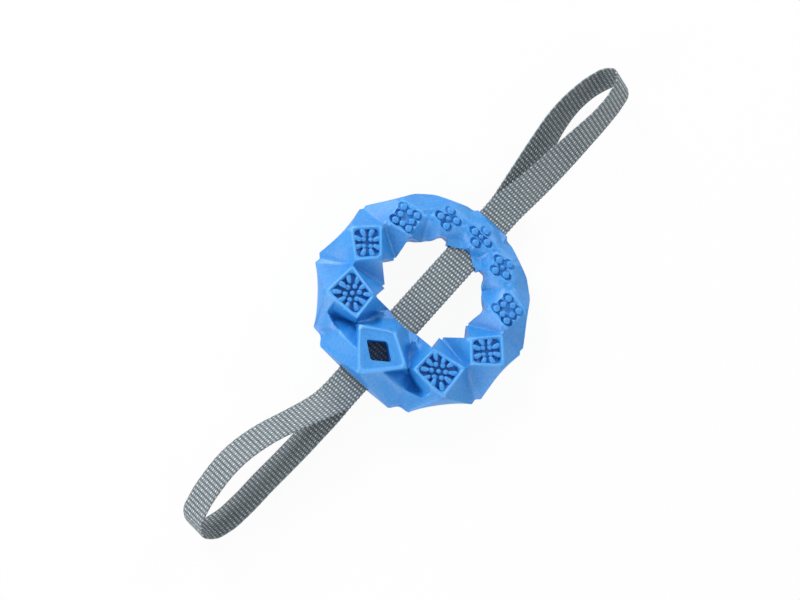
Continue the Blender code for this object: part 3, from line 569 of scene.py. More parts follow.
def ring_grids():
    """All of the ring's skin: tops and flanks, above and mirrored below, and upright walls."""
    corners = [cell_corners(index) for index in range(len(CELLS))]
    doubled, walls = [], []
    for index in range(len(CELLS)):
        doubled += cell_top(index, corners[index])
    for out_sign, radial in ((1, 1), (-1, 3)):
        toward_next, toward_last = [], []
        for index in range(len(CELLS)):
            after = (index + 1) % len(CELLS)
            boundary = min(CELLS[index], CELLS[after])
            toward_housing = math.copysign(1.0, CELLS[index] - CELLS[after])
            azimuth = ENDS[index] + toward_housing * math.radians(PEAK_SHIFTS_DEG[boundary])
            width = (RING_RADIUS - inner_radius(azimuth)) / 2
            start, end = corners[index][radial], corners[after][radial]
            toward_next.append(edge_to_peak(start, azimuth, out_sign, boundary, -1))
            toward_last.append(edge_to_peak(end, azimuth, out_sign, boundary, 1))
            pair = (toward_next[-1], toward_last[-1])
            doubled.append(
                flank(corners[index], corners[after], azimuth, boundary, pair, out_sign, width)
            )
        for index in range(len(CELLS)):
            width = (RING_RADIUS - inner_radius(MIDDLES[index])) / 2
            edges = (toward_next[index], toward_last[index - 1])
            walls.append(upright_wall(CELLS[index], edges, out_sign, MIDDLES[index], width))
    below = [grid * UNDER for grid in doubled]
    return [shaped(grid) for grid in doubled + below + walls]


def shaped(grid):
    """The skin with its lips, pits, creases, marks and eased corners, alike above and below."""
    side = np.where(grid[..., 2] < 0, -1.0, 1.0)
    upper = np.stack([grid[..., 0], grid[..., 1], np.abs(grid[..., 2])], axis=-1)
    upper = eased(marked(creased(pitted(far_lipped(housing_lipped(upper))))))
    upper[..., 2] *= side
    return upper


def polar(grid):
    """Distance from the ring's axis, and azimuth from the housing on either side."""
    return np.hypot(grid[..., 0], grid[..., 1]), np.arctan2(np.abs(grid[..., 1]), -grid[..., 0])


def housing_lipped(grid):
    """The upper skin brought to the opening's circle beside the housing, up to the lip's height.

    Points lower than the lip move along their radius onto the circle, so that a blunt lip
    covers the webbing from one valley to the other.
    """
    radius, azimuth = polar(grid)
    full, none = np.radians(LIP_TURNS_DEG)
    pull = smooth((none - azimuth) / (none - full))
    pull *= smooth((LIP_HEIGHT - grid[..., 2]) / LIP_FADE) * (radius < LIP_REACH)
    scale = 1 + pull * (inner_radius(azimuth) / radius - 1)
    return grid * np.stack([scale, scale, np.ones_like(scale)], axis=-1)


def far_lipped(grid):
    """The upper skin brought along X over the webbing at the far cell, up to the lip's height.

    Inside the ring it meets two lobes round the opening's centre, with a notch between them.
    Outside it meets one straight edge.
    """
    x, aside = grid[..., 0], np.abs(grid[..., 1])
    reach = FAR_LIP_MIDDLE + (FAR_LIP_SIDE - FAR_LIP_MIDDLE) * smooth(aside / FAR_LIP_LOBE)
    inside = HOLE_OFFSET + np.sqrt((reach**2 - aside**2).clip(0))
    edge = np.where(x < FAR_LIP_SPLIT, np.minimum(x, inside), np.maximum(x, FAR_LIP_OUT))
    pull = smooth((FAR_LIP_HALF_WIDTH - aside) / FAR_LIP_FADE) * (x > HOLE_OFFSET)
    pull *= smooth((LIP_HEIGHT - grid[..., 2]) / LIP_FADE)
    grid = grid.copy()
    grid[..., 0] += pull * (edge - x)
    return grid


def beyond_line(grid, start, end):
    """Signed distance of points from a line in the plane, on whose left they count above 0."""
    run = np.array(end[:2]) - start[:2]
    run /= np.linalg.norm(run)
    x, y = grid[..., 0] - start[0], np.abs(grid[..., 1]) - start[1]
    return run[0] * y - run[1] * x


def pitted(grid):
    """The upper skin with a pit cut into each flank between the housing's plate and its neighbour.

    The pit's crease runs from between the two cells to PIT_END. From it a flat leaf rises to
    the plate's edge, a wall rises to the neighbour's edge, and steep ends close it.
    """
    plate, neighbour = cell_corners(0), cell_corners(1)
    start = (plate[2] + neighbour[0]) / 2
    leaf = beyond_line(grid, start, PIT_END)
    from_plate = beyond_line(grid, plate[1], plate[2])
    from_neighbour = beyond_line(grid, neighbour[0], neighbour[1])
    radius, azimuth = polar(grid)
    floor = PIT_FLOOR + PIT_LEAF_SLOPE * leaf.clip(0)
    floor += PIT_WALL_HEIGHT * (1 - from_plate / PIT_EDGE_WIDTH).clip(0)
    wall = -leaf / (-leaf + from_neighbour.clip(0.00001)).clip(0.00001)
    floor += PIT_WALL_HEIGHT * wall.clip(0, 1) * (leaf < 0)
    ends = (radius - PIT_END_RADIUS).clip(0) + (PIT_START_RADIUS - radius).clip(0)
    floor += PIT_END_SLOPE * ends
    inside = (from_plate > 0) & (from_neighbour > 0) & (azimuth < math.radians(60))
    grid = grid.copy()
    grid[..., 2] = np.where(inside, np.minimum(grid[..., 2], floor), grid[..., 2])
    return grid


def creased(grid):
    """The upper skin with a swell and a short crease in each flank inside the housing's plate.

    Each is (1 - r^2)^2 high or deep at r of its half sizes. The crease nears its floor as
    1 - exp(-depth / room), so that it stays above the webbing.
    """
    radius, azimuth = polar(grid)
    aside = (azimuth - math.radians(CREASE_AZIMUTH_DEG)) * radius
    swollen = ((radius - SWELL_RADIUS) / SWELL_HALF_LENGTH) ** 2 + (aside / SWELL_HALF_WIDTH) ** 2
    sunk = ((radius - CREASE_RADIUS) / CREASE_HALF_LENGTH) ** 2 + (aside / CREASE_HALF_WIDTH) ** 2
    height = grid[..., 2]
    height = height + SWELL_HEIGHT * (1 - swollen).clip(0) ** 2 * smooth(height / LIP_HEIGHT)
    dip = CREASE_DEPTH * (1 - sunk).clip(0) ** 2
    room = (height - CREASE_FLOOR).clip(0.00001)
    grid = grid.copy()
    grid[..., 2] = height - room * (1 - np.exp(-dip / room)) * (height > CREASE_FLOOR)
    return grid


def marked(grid):
    """The upper skin with the small raised and sunk marks on the plate's bead."""
    grid = grid.copy()
    for x, y, radius, height in PLATE_MARKS:
        far = np.hypot(grid[..., 0] - x, grid[..., 1] - y) / radius
        grid[..., 2] += height * smooth(1.3 - far)
    return grid


def eased(grid):
    """The upper skin with its cells' corners eased: (1 - distance / reach)^2 of their fall."""
    grid = grid.copy()
    for index in range(len(CELLS)):
        for corner in cell_corners(index):
            far = np.linalg.norm(grid - corner, axis=-1) / CORNER_FALL_REACH
            grid[..., 2] -= CORNER_FALL * np.clip(1 - far, 0, 1) ** 2
    return grid


def nub_places(kind):
    """A cell's nubs as (turn, reach, length, radius, tip radius), turned from the outer corner.

    The teardrops, which have a length, reach further out by cos(4 turn) of their spread.
    """
    for count, first_deg, reach, length, radius, tip_radius in NUB_RINGS.get(kind, ()):
        for step in range(count):
            turn = math.radians(first_deg + 360 / count * step)
            spread = NUB_SPREAD * math.cos(4 * turn) if length else 0.0
            yield turn, reach + spread, length, radius, tip_radius


def cell_frame(index):
    """A cell's middle, its direction to the outer corner, the one across it, and the depth."""
    corners = cell_corners(index)
    middle = np.mean(corners, axis=0)
    out = corners[1] - corners[3]
    out[2] = 0.0
    out /= np.linalg.norm(out)
    half = half_height(corners[1][0])
    middle[2] += DOME_SHARES[CELLS[index]] * half
    return middle, out, np.cross(UP, out), POCKET_DEPTH_SHARES[CELLS[index]] * half


def teardrop(radius, tip_radius, length, scale):
    """The outline round two circles, a wide one and a narrow one a length further in.

    A point at angle t sits on the wide circle where cos t is high and on the narrow one where
    it is low, and blends from one to the other between.
    """
    turns = np.linspace(0, 2 * math.pi, NUB_SIDES + 1)
    lean = smooth((1 - np.cos(turns) * TEARDROP_BLEND) / 2)
    size = (radius + (tip_radius - radius) * lean) * scale
    shrunk = length * (TEARDROP_KEPT + (1 - TEARDROP_KEPT) * scale)
    return np.stack([size * np.cos(turns) - lean * shrunk, size * np.sin(turns)], axis=1)


def nub_grids():
    """All nubs, each a stack of its outline from the pocket's floor up to a domed top."""
    grids = []
    for index in range(len(CELLS)):
        kind = CELLS[index]
        middle, out, across, depth = cell_frame(index)
        for turn, reach, length, radius, tip_radius in nub_places(kind):
            ray = math.cos(turn) * out + math.sin(turn) * across
            side = np.cross(UP, ray)
            spot = middle + reach * ray
            slope = -TAPER * (spot[0] - middle[0])
            rings = []
            button = kind > 2
            top = BUTTON_RISE if button and reach else -NUB_SINK
            if not button and not length:
                top -= INNER_NUB_DROP
            for rise, scale in BUTTON_STATIONS if button else NUB_STATIONS:
                outline = teardrop(radius, tip_radius, length, scale)
                height = slope - depth * (1 - rise) + top
                pull = NUB_LEAN * length * rise
                ring = spot + (outline[:, :1] - pull) * ray + outline[:, 1:] * side
                rings.append(ring + height * UP)
            grid = np.stack(rings, axis=1)
            grids += [grid, grid * UNDER]
    return grids


def well_sets():
    """Cutters for the wells round the softer cells' nubs, in sets whose wells stay apart.

    Each is a stack of ovals, circles drawn out along Y, with a rounded bottom and open top.
    """
    turns = np.linspace(0, 2 * math.pi, WELL_SIDES + 1)
    stretch = np.sign(np.round(np.sin(turns), 9)) * smooth(np.abs(np.sin(turns)) * 4)
    sets = [[] for _ in range(WELL_SETS)]
    for index in range(len(CELLS)):
        kind = CELLS[index]
        if kind < 3:
            continue
        middle, out, across, _ = cell_frame(index)
        wells = [(turn, reach, radius) for turn, reach, _, radius, _ in nub_places(kind) if reach]
        wells.append((0.0, 0.0, CENTRE_WELL_RADII[kind - 3]))
        for turn, reach, radius in wells:
            spot = middle + reach * (math.cos(turn) * out + math.sin(turn) * across)
            rings = []
            for height, scale in WELL_STATIONS:
                wide = (radius + WELL_CLEARANCE) * scale
                long = WELL_REACH * min(scale, 1)
                ring = np.stack(
                    [wide * np.cos(turns), wide * np.sin(turns) + long * stretch, 0 * turns], 1
                )
                rings.append(spot + ring + WELL_DEPTH * height * UP)
            grid = np.stack(rings, axis=1)
            which = round(math.degrees(turn) / 45) % 4 if reach else -1
            sets[which] += [grid, grid * UNDER]
    return [grids for grids in sets if grids]


def turned_ring():
    """The ring's own frame in the toy's: tipped so that its tapering underside lies flat."""
    start, end = run_ends()
    back = STACK_HALF + HINGE_GAP
    wide = -(start - back) * math.cos(LIE_ANGLE) + WIDE_LOOP[0]
    narrow = (end + back) * math.cos(LIE_ANGLE) + NARROW_LOOP[0]
    lift = MID_HALF_HEIGHT * math.cos(LIE_ANGLE)
    moved = Matrix.Translation(((wide - narrow) / 2, 0.0, lift))
    return moved @ Matrix.Rotation(LIE_ANGLE, 4, "Y")


def mouth_places():
    """Where the slot leaves the ring along X, from the housing's outside to the far one."""
    housing_width = (RING_RADIUS - inner_radius(0.0)) / 2
    far_width = (RING_RADIUS - inner_radius(math.pi)) / 2
    housing_out = -HOUSING_MID - housing_width * HOUSING_MOUTH_OUT_SHARE
    far_out = FAR_MID + far_width * FAR_MOUTH_OUT_SHARE
    return housing_out, -inner_radius(0.0), inner_radius(math.pi), far_out


def run_ends():
    """Where the doubled webbing reaches each handle's hinge, along X."""
    housing_out, _, _, far_out = mouth_places()
    back = STACK_HALF + HINGE_GAP
    return housing_out - HINGE_STANDOFF + back, far_out + HINGE_STANDOFF - back


TURNED = turned_ring()


def in_toy(points):
    """Points of the ring's own frame, brought into the toy's."""
    matrix = np.array(TURNED)
    return points @ matrix[:3, :3].T + matrix[:3, 3]


def slot_cutter():
    """One long cutter for both slots, flared at each of the four mouths."""
    housing_out, housing_in, far_in, far_out = mouth_places()
    flare = SLOT_HALF_HEIGHT + HOUSING_MOUTH_FLARE
    far_flare = SLOT_HALF_HEIGHT + FAR_MOUTH_FLARE
    stations = (
        (housing_out - OVERRUN, flare),
        (housing_out, flare),
        (housing_out + MOUTH_DEPTH, SLOT_HALF_HEIGHT),
        (housing_in - MOUTH_DEPTH, SLOT_HALF_HEIGHT),
        (housing_in, SLOT_HALF_HEIGHT + LIP_MOUTH_FLARE),
        (far_in, far_flare),
        (far_in + MOUTH_DEPTH, SLOT_HALF_HEIGHT),
        (far_out - MOUTH_DEPTH, SLOT_HALF_HEIGHT),
        (far_out, far_flare),
        (far_out + OVERRUN, far_flare),
    )
    section = np.array([(-1, -1), (1, -1), (1, 1), (-1, 1), (-1, -1)])
    rings = []
    for x, height in ((stations[0][0], 0), *stations, (stations[-1][0], 0)):
        sizes = section * (SLOT_HALF_WIDTH * (height > 0), height)
        rings.append(np.concatenate([np.full((5, 1), x), sizes], axis=1))
    return grids_mesh("slots", [np.stack(rings)])


def window_cutter():
    """The window's upright prism: a diamond whose corners are rounded by quadratic curves."""
    centre = -HOUSING_MID - WINDOW_OUT_SHARE * (RING_RADIUS - inner_radius(0.0)) / 2
    along, across = WINDOW_WIDTH / 2, WINDOW_LENGTH / 2
    tips = np.array([(along, 0), (0, across), (-along, 0), (0, -across)])
    share = 1.4 * WINDOW_CORNER / math.hypot(along, across)
    outline = []
    for number, tip in enumerate(tips):
        first = tip + share * (tips[number - 1] - tip)
        last = tip + share * (tips[(number + 1) % 4] - tip)
        for step in np.linspace(0, 1, WINDOW_CORNER_STEPS + 1):
            outline.append((1 - step) ** 2 * first + 2 * step * (1 - step) * tip + step**2 * last)
    outline = np.array(outline + outline[:1]) + (centre, 0)
    rings = []
    for height, scale in ((0.0, 0.0), (0.0, 1.0), (1.0, 1.0), (1.0, 0.0)):
        ring = (outline - (centre, 0)) * scale + (centre, 0)
        rings.append(np.concatenate([ring, np.full((len(ring), 1), height * HOUSING_THICKNESS)], 1))
    return grids_mesh("window", [np.stack(rings, axis=1)])


def made(name, data):
    """An object at the origin, from its mesh or lamp."""
    piece = bpy.data.objects.new(name, data)
    bpy.context.scene.collection.objects.link(piece)
    return piece


def carved(name, mesh, cutters):
    """A mesh after exact Boolean cuts with other meshes, one after another."""
    piece = made(name, mesh)
    helpers = [made(f"{name}_cutter", cutter) for cutter in cutters]
    for helper in helpers:
        modifier = piece.modifiers.new(helper.name, "BOOLEAN")
        modifier.object = helper
        modifier.operation = "DIFFERENCE"
        modifier.solver = "EXACT"
    bpy.context.view_layer.update()
    graph = bpy.context.evaluated_depsgraph_get()
    result = bpy.data.meshes.new_from_object(piece.evaluated_get(graph))
    for helper in (piece, *helpers):
        bpy.data.objects.remove(helper)
    result.name = name
    return result


def rim_highlight_share(points):
    """How strong the painted highlight on the ring is: most on the beads along the cells' edges, 0
    beyond and below.
    """
    found = np.zeros(len(points))
    for index in range(len(CELLS)):
        corners = cell_corners(index)
        width = BEAD_WIDTHS[CELLS[index]]
        for number in range(4):
            start, end = corners[number - 1], corners[number]
            run = (end - start)[:2]
            along = np.clip(((points[:, :2] - start[:2]) @ run) / (run @ run), 0, 1)
            foot = start[None] + along[:, None] * (end - start)
            inward = np.mean(corners, 0)[:2] - (start[:2] + end[:2]) / 2
            inward /= np.linalg.norm(inward)
            away = points[:, :2] - foot[:, :2] - 0.5 * width * inward
            far = np.linalg.norm(away, axis=1) / (RIM_HIGHLIGHT_WIDTH_SHARE * width)
            level = np.abs(np.abs(points[:, 2]) - foot[:, 2]) < RIM_HIGHLIGHT_DEPTH
            found = np.maximum(found, RIM_HIGHLIGHT_SHARES[CELLS[index]] * smooth(1.25 - far) * level)
    return found


def finish_mesh(mesh, angle_deg=SHARP_DEG):
    """Smooth shading with creases only where faces meet sharply."""
    mesh.shade_smooth()
    mesh.set_sharp_from_angle(angle=math.radians(angle_deg))
    return mesh


def make_ring():
    """The rubber moulding and its nubs."""
    cutters = [grids_mesh("wells", grids) for grids in well_sets()]
    cutters += [window_cutter(), slot_cutter()]
    mesh = carved("ring_moulding", grids_mesh("ring_skin", ring_grids()), cutters)
    points = np.empty(len(mesh.vertices) * 3, np.float32)
    mesh.vertices.foreach_get("co", points)
    points = points.reshape(-1, 3).astype(float)
    # Where the rims are painted with a highlight
    rim = mesh.attributes.new("rim", "FLOAT", "POINT")
    rim.data.foreach_set("value", rim_highlight_share(points).astype(np.float32))
    mesh.vertices.foreach_set("co", in_toy(points).astype(np.float32).ravel())
    mesh.materials.clear()
    mesh.materials.append(rubber())
    ring = made("ring_moulding", finish_mesh(mesh))
    nubs_mesh = grids_mesh("ring_nubs", [in_toy(grid) for grid in nub_grids()])
    nubs_mesh.materials.append(rubber())
    nubs = made("ring_nubs", finish_mesh(nubs_mesh, BEAD_SHARP_DEG))
    for piece in (ring, nubs):
        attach(piece, "ring")
        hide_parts("rubber_ring")


def smooth_through(places, values, at):
    """A smooth curve through values at places: cubic, with each slope from its neighbours."""
    places, values = np.array(places), np.array(values)
    slopes = np.gradient(values, places)
    index = np.clip(np.searchsorted(places, at, side="right") - 1, 0, len(places) - 2)
    step = places[index + 1] - places[index]
    share = (at - places[index]) / step
    rise = share**2 * (3 - 2 * share)
    return (
        values[index] * (1 - rise)
        + values[index + 1] * rise
        + step * slopes[index] * share * (1 - share) ** 2
        - step * slopes[index + 1] * share**2 * (1 - share)
    )


def loop_path(sizes, tables, start_height):
    """A handle's centre line and width directions, outwards from its hinge and back.

    Stations give the half opening, lean and sideways shift; the loop leans over until its
    lower edge rests on the ground.
    """
    length, opening, lean_deg, side_shift = sizes
    share = 1 - (1 - np.linspace(0.0, 1.0, LOOP_KNOTS)) ** 2
    half, lean, shift = [smooth_through(LOOP_STATION_SHARES, table, share) for table in tables]
    half = half.clip(0) * opening / 2
    half = np.maximum(half, LAYER_OFFSET * (1 - share**8))
    half[-1] = 0.0
    lean, shift = lean * math.radians(lean_deg), shift * side_shift
    tilt = WEBBING_WIDTH / 2 * np.abs(np.sin(lean))
    resting = (half + WEBBING_THICKNESS / 2) * np.cos(lean) + tilt
    rest_height = float(resting[share > 0.5].max())
    height = start_height + (rest_height - start_height) * smooth(share / 0.5)
    rows = []
    for side in (1, -1):
        sideways = shift + side * half * np.sin(lean)
        rows.append(np.stack([share * length, sideways, height + side * half * np.cos(lean)], 1))
    across = np.stack([0 * lean, np.cos(lean), -np.sin(lean)], axis=1)
    return np.concatenate([rows[0], rows[1][-2::-1]]), np.concatenate([across, across[-2::-1]])


def along_path(points):
    """How far along their path points lie."""
    return np.concatenate([[0], np.cumsum(np.linalg.norm(np.diff(points, axis=0), axis=1))])


def evened(centres, across, step):
    """A path at even steps of its length, eased by a Gaussian so that no kink is left in it."""
    lengths = along_path(centres)
    at = np.linspace(0, lengths[-1], int(lengths[-1] / PATH_STEP) + 1)
    both = np.concatenate([centres, across], axis=1)
    both = np.stack([np.interp(at, lengths, column) for column in both.T], axis=1)
    steps = EASING_STEPS
    kernel = np.exp(-((np.arange(-steps, steps + 1) * PATH_STEP / EASING_REACH) ** 2) / 2)
    before, after = 2 * both[:1] - both[steps:0:-1], 2 * both[-1:] - both[-2 : -steps - 2 : -1]
    padded = np.concatenate([before, both, after])
    both = np.stack([np.convolve(column, kernel / kernel.sum(), "valid") for column in padded.T], 1)
    lengths = along_path(both[:, :3])
    at = np.linspace(0, lengths[-1], max(2, round(lengths[-1] / step)) + 1)
    both = np.stack([np.interp(at, lengths, column) for column in both.T], axis=1)
    return both[:, :3], both[:, 3:] / np.linalg.norm(both[:, 3:], axis=1)[:, None], at


def weave_height(ribs, picks):
    """Height of the weave over its core, from places counted in ribs and picks.

    Each pick is a low ridge, |cos(pi pick)| high. On it stand floats, cos(2 pi rib) times
    cos(pi pick) high where that is above 0, and every third one stands higher.
    """
    row = np.cos(math.pi * picks)
    floats = np.clip(np.cos(2 * math.pi * ribs) * row, 0, 1) ** 0.8
    tall = smooth(np.cos(2 * math.pi * ribs / 3) * row)
    height = FLOAT_HEIGHT * (LOW_FLOAT_SHARE + (1 - LOW_FLOAT_SHARE) * tall)
    return RIDGE_HEIGHT * np.abs(row) ** 1.5 + height * floats


def webbing_section(picks):
    """The webbing's section as columns of (aside, up) and of (ribs, picks), one row to a sample.

    Each face carries the weave, the lower one half a pattern on, fading at the selvedges.
    Between the faces each selvedge is round and waves with the picks.
    """
    flat, core = WEBBING_WIDTH / 2 - SELVEDGE, CORE_SHARE * WEBBING_THICKNESS / 2
    places = np.linspace(-1, 1, WIDTH_SAMPLES + 1) * flat
    fade = smooth((flat - np.abs(places)) / SELVEDGE_FADE)
    wave = SELVEDGE_WAVE * np.cos(2 * math.pi * picks)
    columns, maps = [], []
    for face in (1, -1):
        ribs, face_picks = (places / RIB_PITCH)[::face], picks + (face < 0)
        height = core + weave_height(ribs[None], face_picks[:, None]) * fade[None]
        for place, rise, rib in zip(places[::face], height.T, ribs):
            columns.append((np.full(len(picks), place), face * rise))
            maps.append((np.full(len(picks), rib), face_picks))
        for turn in (0.5, 0.0, -0.5):
            round_share = math.cos(turn * math.pi / 1.5)
            out = face * (flat + SELVEDGE * round_share)
            up = face * core * math.sin(turn * math.pi / 1.2)
            columns.append((out + face * wave * round_share, np.full(len(picks), up)))
            maps.append((np.full(len(picks), out / RIB_PITCH), face_picks))
    return columns + columns[:1], maps + maps[:1]


def webbing_mesh(name, centres, across):
    """Woven webbing: its section swept along a path, with the ends closed on their middles."""
    centres, across, lengths = evened(centres, across, PICK_PITCH / PICK_SAMPLES)
    run = np.gradient(centres, axis=0)
    run /= np.linalg.norm(run, axis=1)[:, None]
    normals = np.cross(run, across)
    normals /= np.linalg.norm(normals, axis=1)[:, None]
    columns, maps = webbing_section(lengths / PICK_PITCH)
    grid = np.stack([centres + a[:, None] * across + b[:, None] * normals for a, b in columns], 1)
    ends = [np.repeat(centres[i][None], len(columns), 0)[None] for i in (0, -1)]
    grid = np.concatenate([ends[0], grid, ends[1]])
    uv = np.stack([np.stack(pair, 1) for pair in maps], 1)
    uv = np.concatenate([uv[:1], uv, uv[-1:]])
    rows, count = grid.shape[:2]
    index = np.arange(rows * count).reshape(rows, count)
    index[:, -1] = index[:, 0]
    index[0, :], index[-1, :] = index[0, 0], index[-1, 0]
    quads = np.stack([index[:-1, :-1], index[1:, :-1], index[1:, 1:], index[:-1, 1:]], -1)
    spots = np.stack([uv[:-1, :-1], uv[1:, :-1], uv[1:, 1:], uv[:-1, 1:]], 2).reshape(-1, 4, 2)
    used, flat = np.unique(quads.reshape(-1, 4), return_inverse=True)
    quads = flat.reshape(-1, 4)
    first, last = quads[:, 0] == quads[:, 3], quads[:, 1] == quads[:, 2]
    faces, face_uvs = [], []
    for chosen, kept in ((~first & ~last, (0, 1, 2, 3)), (first, (0, 1, 2)), (last, (0, 1, 3))):
        faces += quads[chosen][:, kept].tolist()
        face_uvs.append(spots[chosen][:, kept].reshape(-1, 2))
    mesh = bpy.data.meshes.new(name)
    mesh.from_pydata(grid.reshape(-1, 3)[used], [], faces)
    layer = mesh.uv_layers.new(name="weave")
    layer.data.foreach_set("uv", np.concatenate(face_uvs).astype(np.float32).ravel())
    faced_outwards(mesh, weld=False)
    mesh.shade_smooth()
    return mesh


def straight(start, end, height):
    """A level stretch of webbing in the ring's own frame, as toy points and width directions."""
    points = np.array([(x, 0.0, height) for x in np.linspace(start, end, RUN_KNOTS)])
    return in_toy(points), np.repeat([[0.0, 1.0, 0.0]], RUN_KNOTS, 0)


def lap_places():
    """Where the lapped joint starts and ends along X, left of the opening's middle."""
    middle = HOLE_OFFSET - LAP_SHIFT
    return middle - LAP_LENGTH / 2, middle + LAP_LENGTH / 2


def lapped_end():
    """The lower layer's second end: under the first along the lap, then up a step to its level."""
    lap_start, lap_end = lap_places()
    low = -LAYER_OFFSET - WEBBING_THICKNESS - LAYER_GAP
    places = [(lap_start, low), (lap_end, low)]
    for share in np.linspace(0.0, 1.0, RUN_KNOTS):
        x = lap_end + LAP_STEP * (LAP_STEP_START + (1 - LAP_STEP_START) * share)
        places.append((x, low - (LAYER_OFFSET + low) * smooth(share)))
    places.append((FAR_SEAM, -LAYER_OFFSET))
    level = np.repeat([[0.0, 1.0, 0.0]], len(places), 0)
    return in_toy(np.array([(x, 0.0, z) for x, z in places])), level


def lay_webbing(name, centres, across, node, held, swing=None):
    """One stretch of webbing attached to the ring, or, given a swing, left unattached with its
    place baked in.
    """
    mesh = webbing_mesh(name, centres, across)
    mesh.materials.append(webbing())
    piece = made(name, mesh)
    if swing:
        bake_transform(piece)
    else:
        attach(piece, "ring")
    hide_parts(node)


def make_webbing():
    """The band: two layers through the ring, a lap below, and a loop at each end."""
    upper = straight(HOUSING_SEAM, FAR_SEAM, LAYER_OFFSET)
    lower = straight(HOUSING_SEAM, lap_places()[1], -LAYER_OFFSET)
    lay_webbing("webbing_upper_layer", *upper, "webbing_upper_run", "stretched")
    lay_webbing("webbing_lower_layer", *lower, "webbing_lower_end_a", "stretched")
    lay_webbing("webbing_lapped_end", *lapped_end(), "webbing_lower_end_b", "stretched")
    start, end = run_ends()
    back = STACK_HALF + HINGE_GAP
    housing_out, _, _, far_out = mouth_places()
    wide, narrow = (WIDE_LOOP, WIDE_LOOP_SHARES), (NARROW_LOOP, NARROW_LOOP_SHARES)
    for side, hinge_x, seam, mouth_x, heading, loop in (
        ("housing_side", start - back, HOUSING_SEAM, housing_out, -1, wide),
        ("far_side", end + back, FAR_SEAM, far_out, 1, narrow),
    ):
        hinge = in_toy(np.array([[hinge_x, 0.0, 0.0]]))[0]
        centres, across = loop_path(*loop, hinge[2])
        centres[:, 0] = hinge[0] + heading * centres[:, 0]
        out, level = straight(seam, hinge_x - heading * LOOP_JOIN, LAYER_OFFSET)
        home, _ = straight(hinge_x - heading * LOOP_JOIN, seam, -LAYER_OFFSET)
        keep = np.abs(centres[:, 0] - hinge[0]) > LOOP_START
        centres = np.concatenate([out, centres[keep], home])
        across = np.concatenate([level, across[keep], level])
        mouth = in_toy(np.array([[mouth_x, 0.0, 0.0]]))[0]
        beyond = hinge + heading * np.array([BLEND_REACH, 0.0, 0.0])
        swing = (f"{side}_handle", tuple(mouth), tuple(beyond))
        name, node = f"handle_webbing_{side}", f"handle_loop_{side}"
        lay_webbing(name, centres, across, node, "folded", swing)


def make_stitching():
    """The lap's boxed cross: rows of short humped stitches on its underside.

    Each stitch is a half-sunk bead of thread, its height a half sine along it.
    """
    lap_start, lap_end = lap_places()
    left, right = lap_start + STITCH_MARGIN, lap_end - STITCH_MARGIN
    side = WEBBING_WIDTH / 2 - STITCH_MARGIN
    face = -LAYER_OFFSET - WEBBING_THICKNESS - LAYER_GAP - WEBBING_THICKNESS / 2
    places = ((left, -side), (right, -side), (right, side), (left, side))
    corners = [np.array([x, y, face]) for x, y in places]
    turns = np.linspace(0, 2 * math.pi, 7)
    gap, filled = STITCH_SHARES
    grids = []
    for first, last in ((0, 1), (1, 2), (2, 3), (3, 0), (0, 2), (1, 3)):
        start, end = corners[first], corners[last]
        run = end - start
        count = max(2, round(np.linalg.norm(run) / STITCH_PITCH))
        aside = np.cross(run / np.linalg.norm(run), UP)
        for number in range(count):
            rings = []
            for share in np.linspace(0, 1, 6):
                along = start + run * (number + gap + filled * share) / count
                arch = math.sin(math.pi * share)
                size = THREAD_DIAMETER / 2 * (0.15 + 0.85 * arch**0.5) if 0 < share < 1 else 0.0
                middle = along - UP * THREAD_DIAMETER * (STITCH_RISE * arch - STITCH_SINK)
                circle = np.cos(turns)[:, None] * aside + np.sin(turns)[:, None] * UP
                rings.append(middle + size * circle)
            grids.append(in_toy(np.stack(rings, axis=1)))
    mesh = grids_mesh("lap_stitches", grids)
    mesh.materials.append(thread())
    stitches = made("lap_stitches", finish_mesh(mesh, BEAD_SHARP_DEG))
    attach(stitches, "ring")
    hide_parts("lap_stitching")


def new_group(name, inputs, outputs):
    """A shader node group with the named sockets, and its input and output nodes."""
    group = bpy.data.node_groups.new(name, "ShaderNodeTree")
    for label, kind, value in inputs:
        socket = group.interface.new_socket(label, in_out="INPUT", socket_type=kind)
        if value is not None:
            socket.default_value = value
    for label, kind in outputs:
        group.interface.new_socket(label, in_out="OUTPUT", socket_type=kind)
    return group, group.nodes.new("NodeGroupInput"), group.nodes.new("NodeGroupOutput")


def math_node(tree, operation, *values):
    """A Math node whose inputs are numbers or sockets."""
    node = tree.nodes.new("ShaderNodeMath")
    node.operation = operation
    for socket, value in zip(node.inputs, values):
        if isinstance(value, (int, float)):
            socket.default_value = value
        else:
            tree.links.new(value, socket)
    return node.outputs[0]


def mix_colour(tree, factor, first, second):
    """A Mix node between two colours, given as tuples or sockets."""
    node = tree.nodes.new("ShaderNodeMix")
    node.data_type = "RGBA"
    for number, value in ((0, factor), (6, first), (7, second)):
        socket = node.inputs[number]
        if isinstance(value, (int, float, tuple)):
            socket.default_value = value
        else:
            tree.links.new(value, socket)
    return node.outputs[2]


def noise(tree, vector, scale, detail=3.0, roughness=0.55):
    """A noise texture's value on a vector."""
    node = tree.nodes.new("ShaderNodeTexNoise")
    node.inputs["Scale"].default_value = scale
    node.inputs["Detail"].default_value = detail
    node.inputs["Roughness"].default_value = roughness
    tree.links.new(vector, node.inputs["Vector"])
    return node.outputs[0]


def ramp(tree, value, low, high, to_low=0.0, to_high=1.0):
    """A value carried from one range to another, clamped."""
    node = tree.nodes.new("ShaderNodeMapRange")
    ends = {"From Min": low, "From Max": high, "To Min": to_low, "To Max": to_high}
    for label, number in ends.items():
        node.inputs[label].default_value = number
    tree.links.new(value, node.inputs["Value"])
    return node.outputs[0]


def bumped(tree, height, strength, distance):
    """A Bump node over a height in metres."""
    node = tree.nodes.new("ShaderNodeBump")
    node.inputs["Strength"].default_value = strength
    node.inputs["Distance"].default_value = distance
    tree.links.new(height, node.inputs["Height"])
    return node.outputs[0]


def clouded(tree, value, low, high, shades):
    """A colour between two shades, where a value runs from low to high."""
    return mix_colour(tree, ramp(tree, value, low, high), *shades)


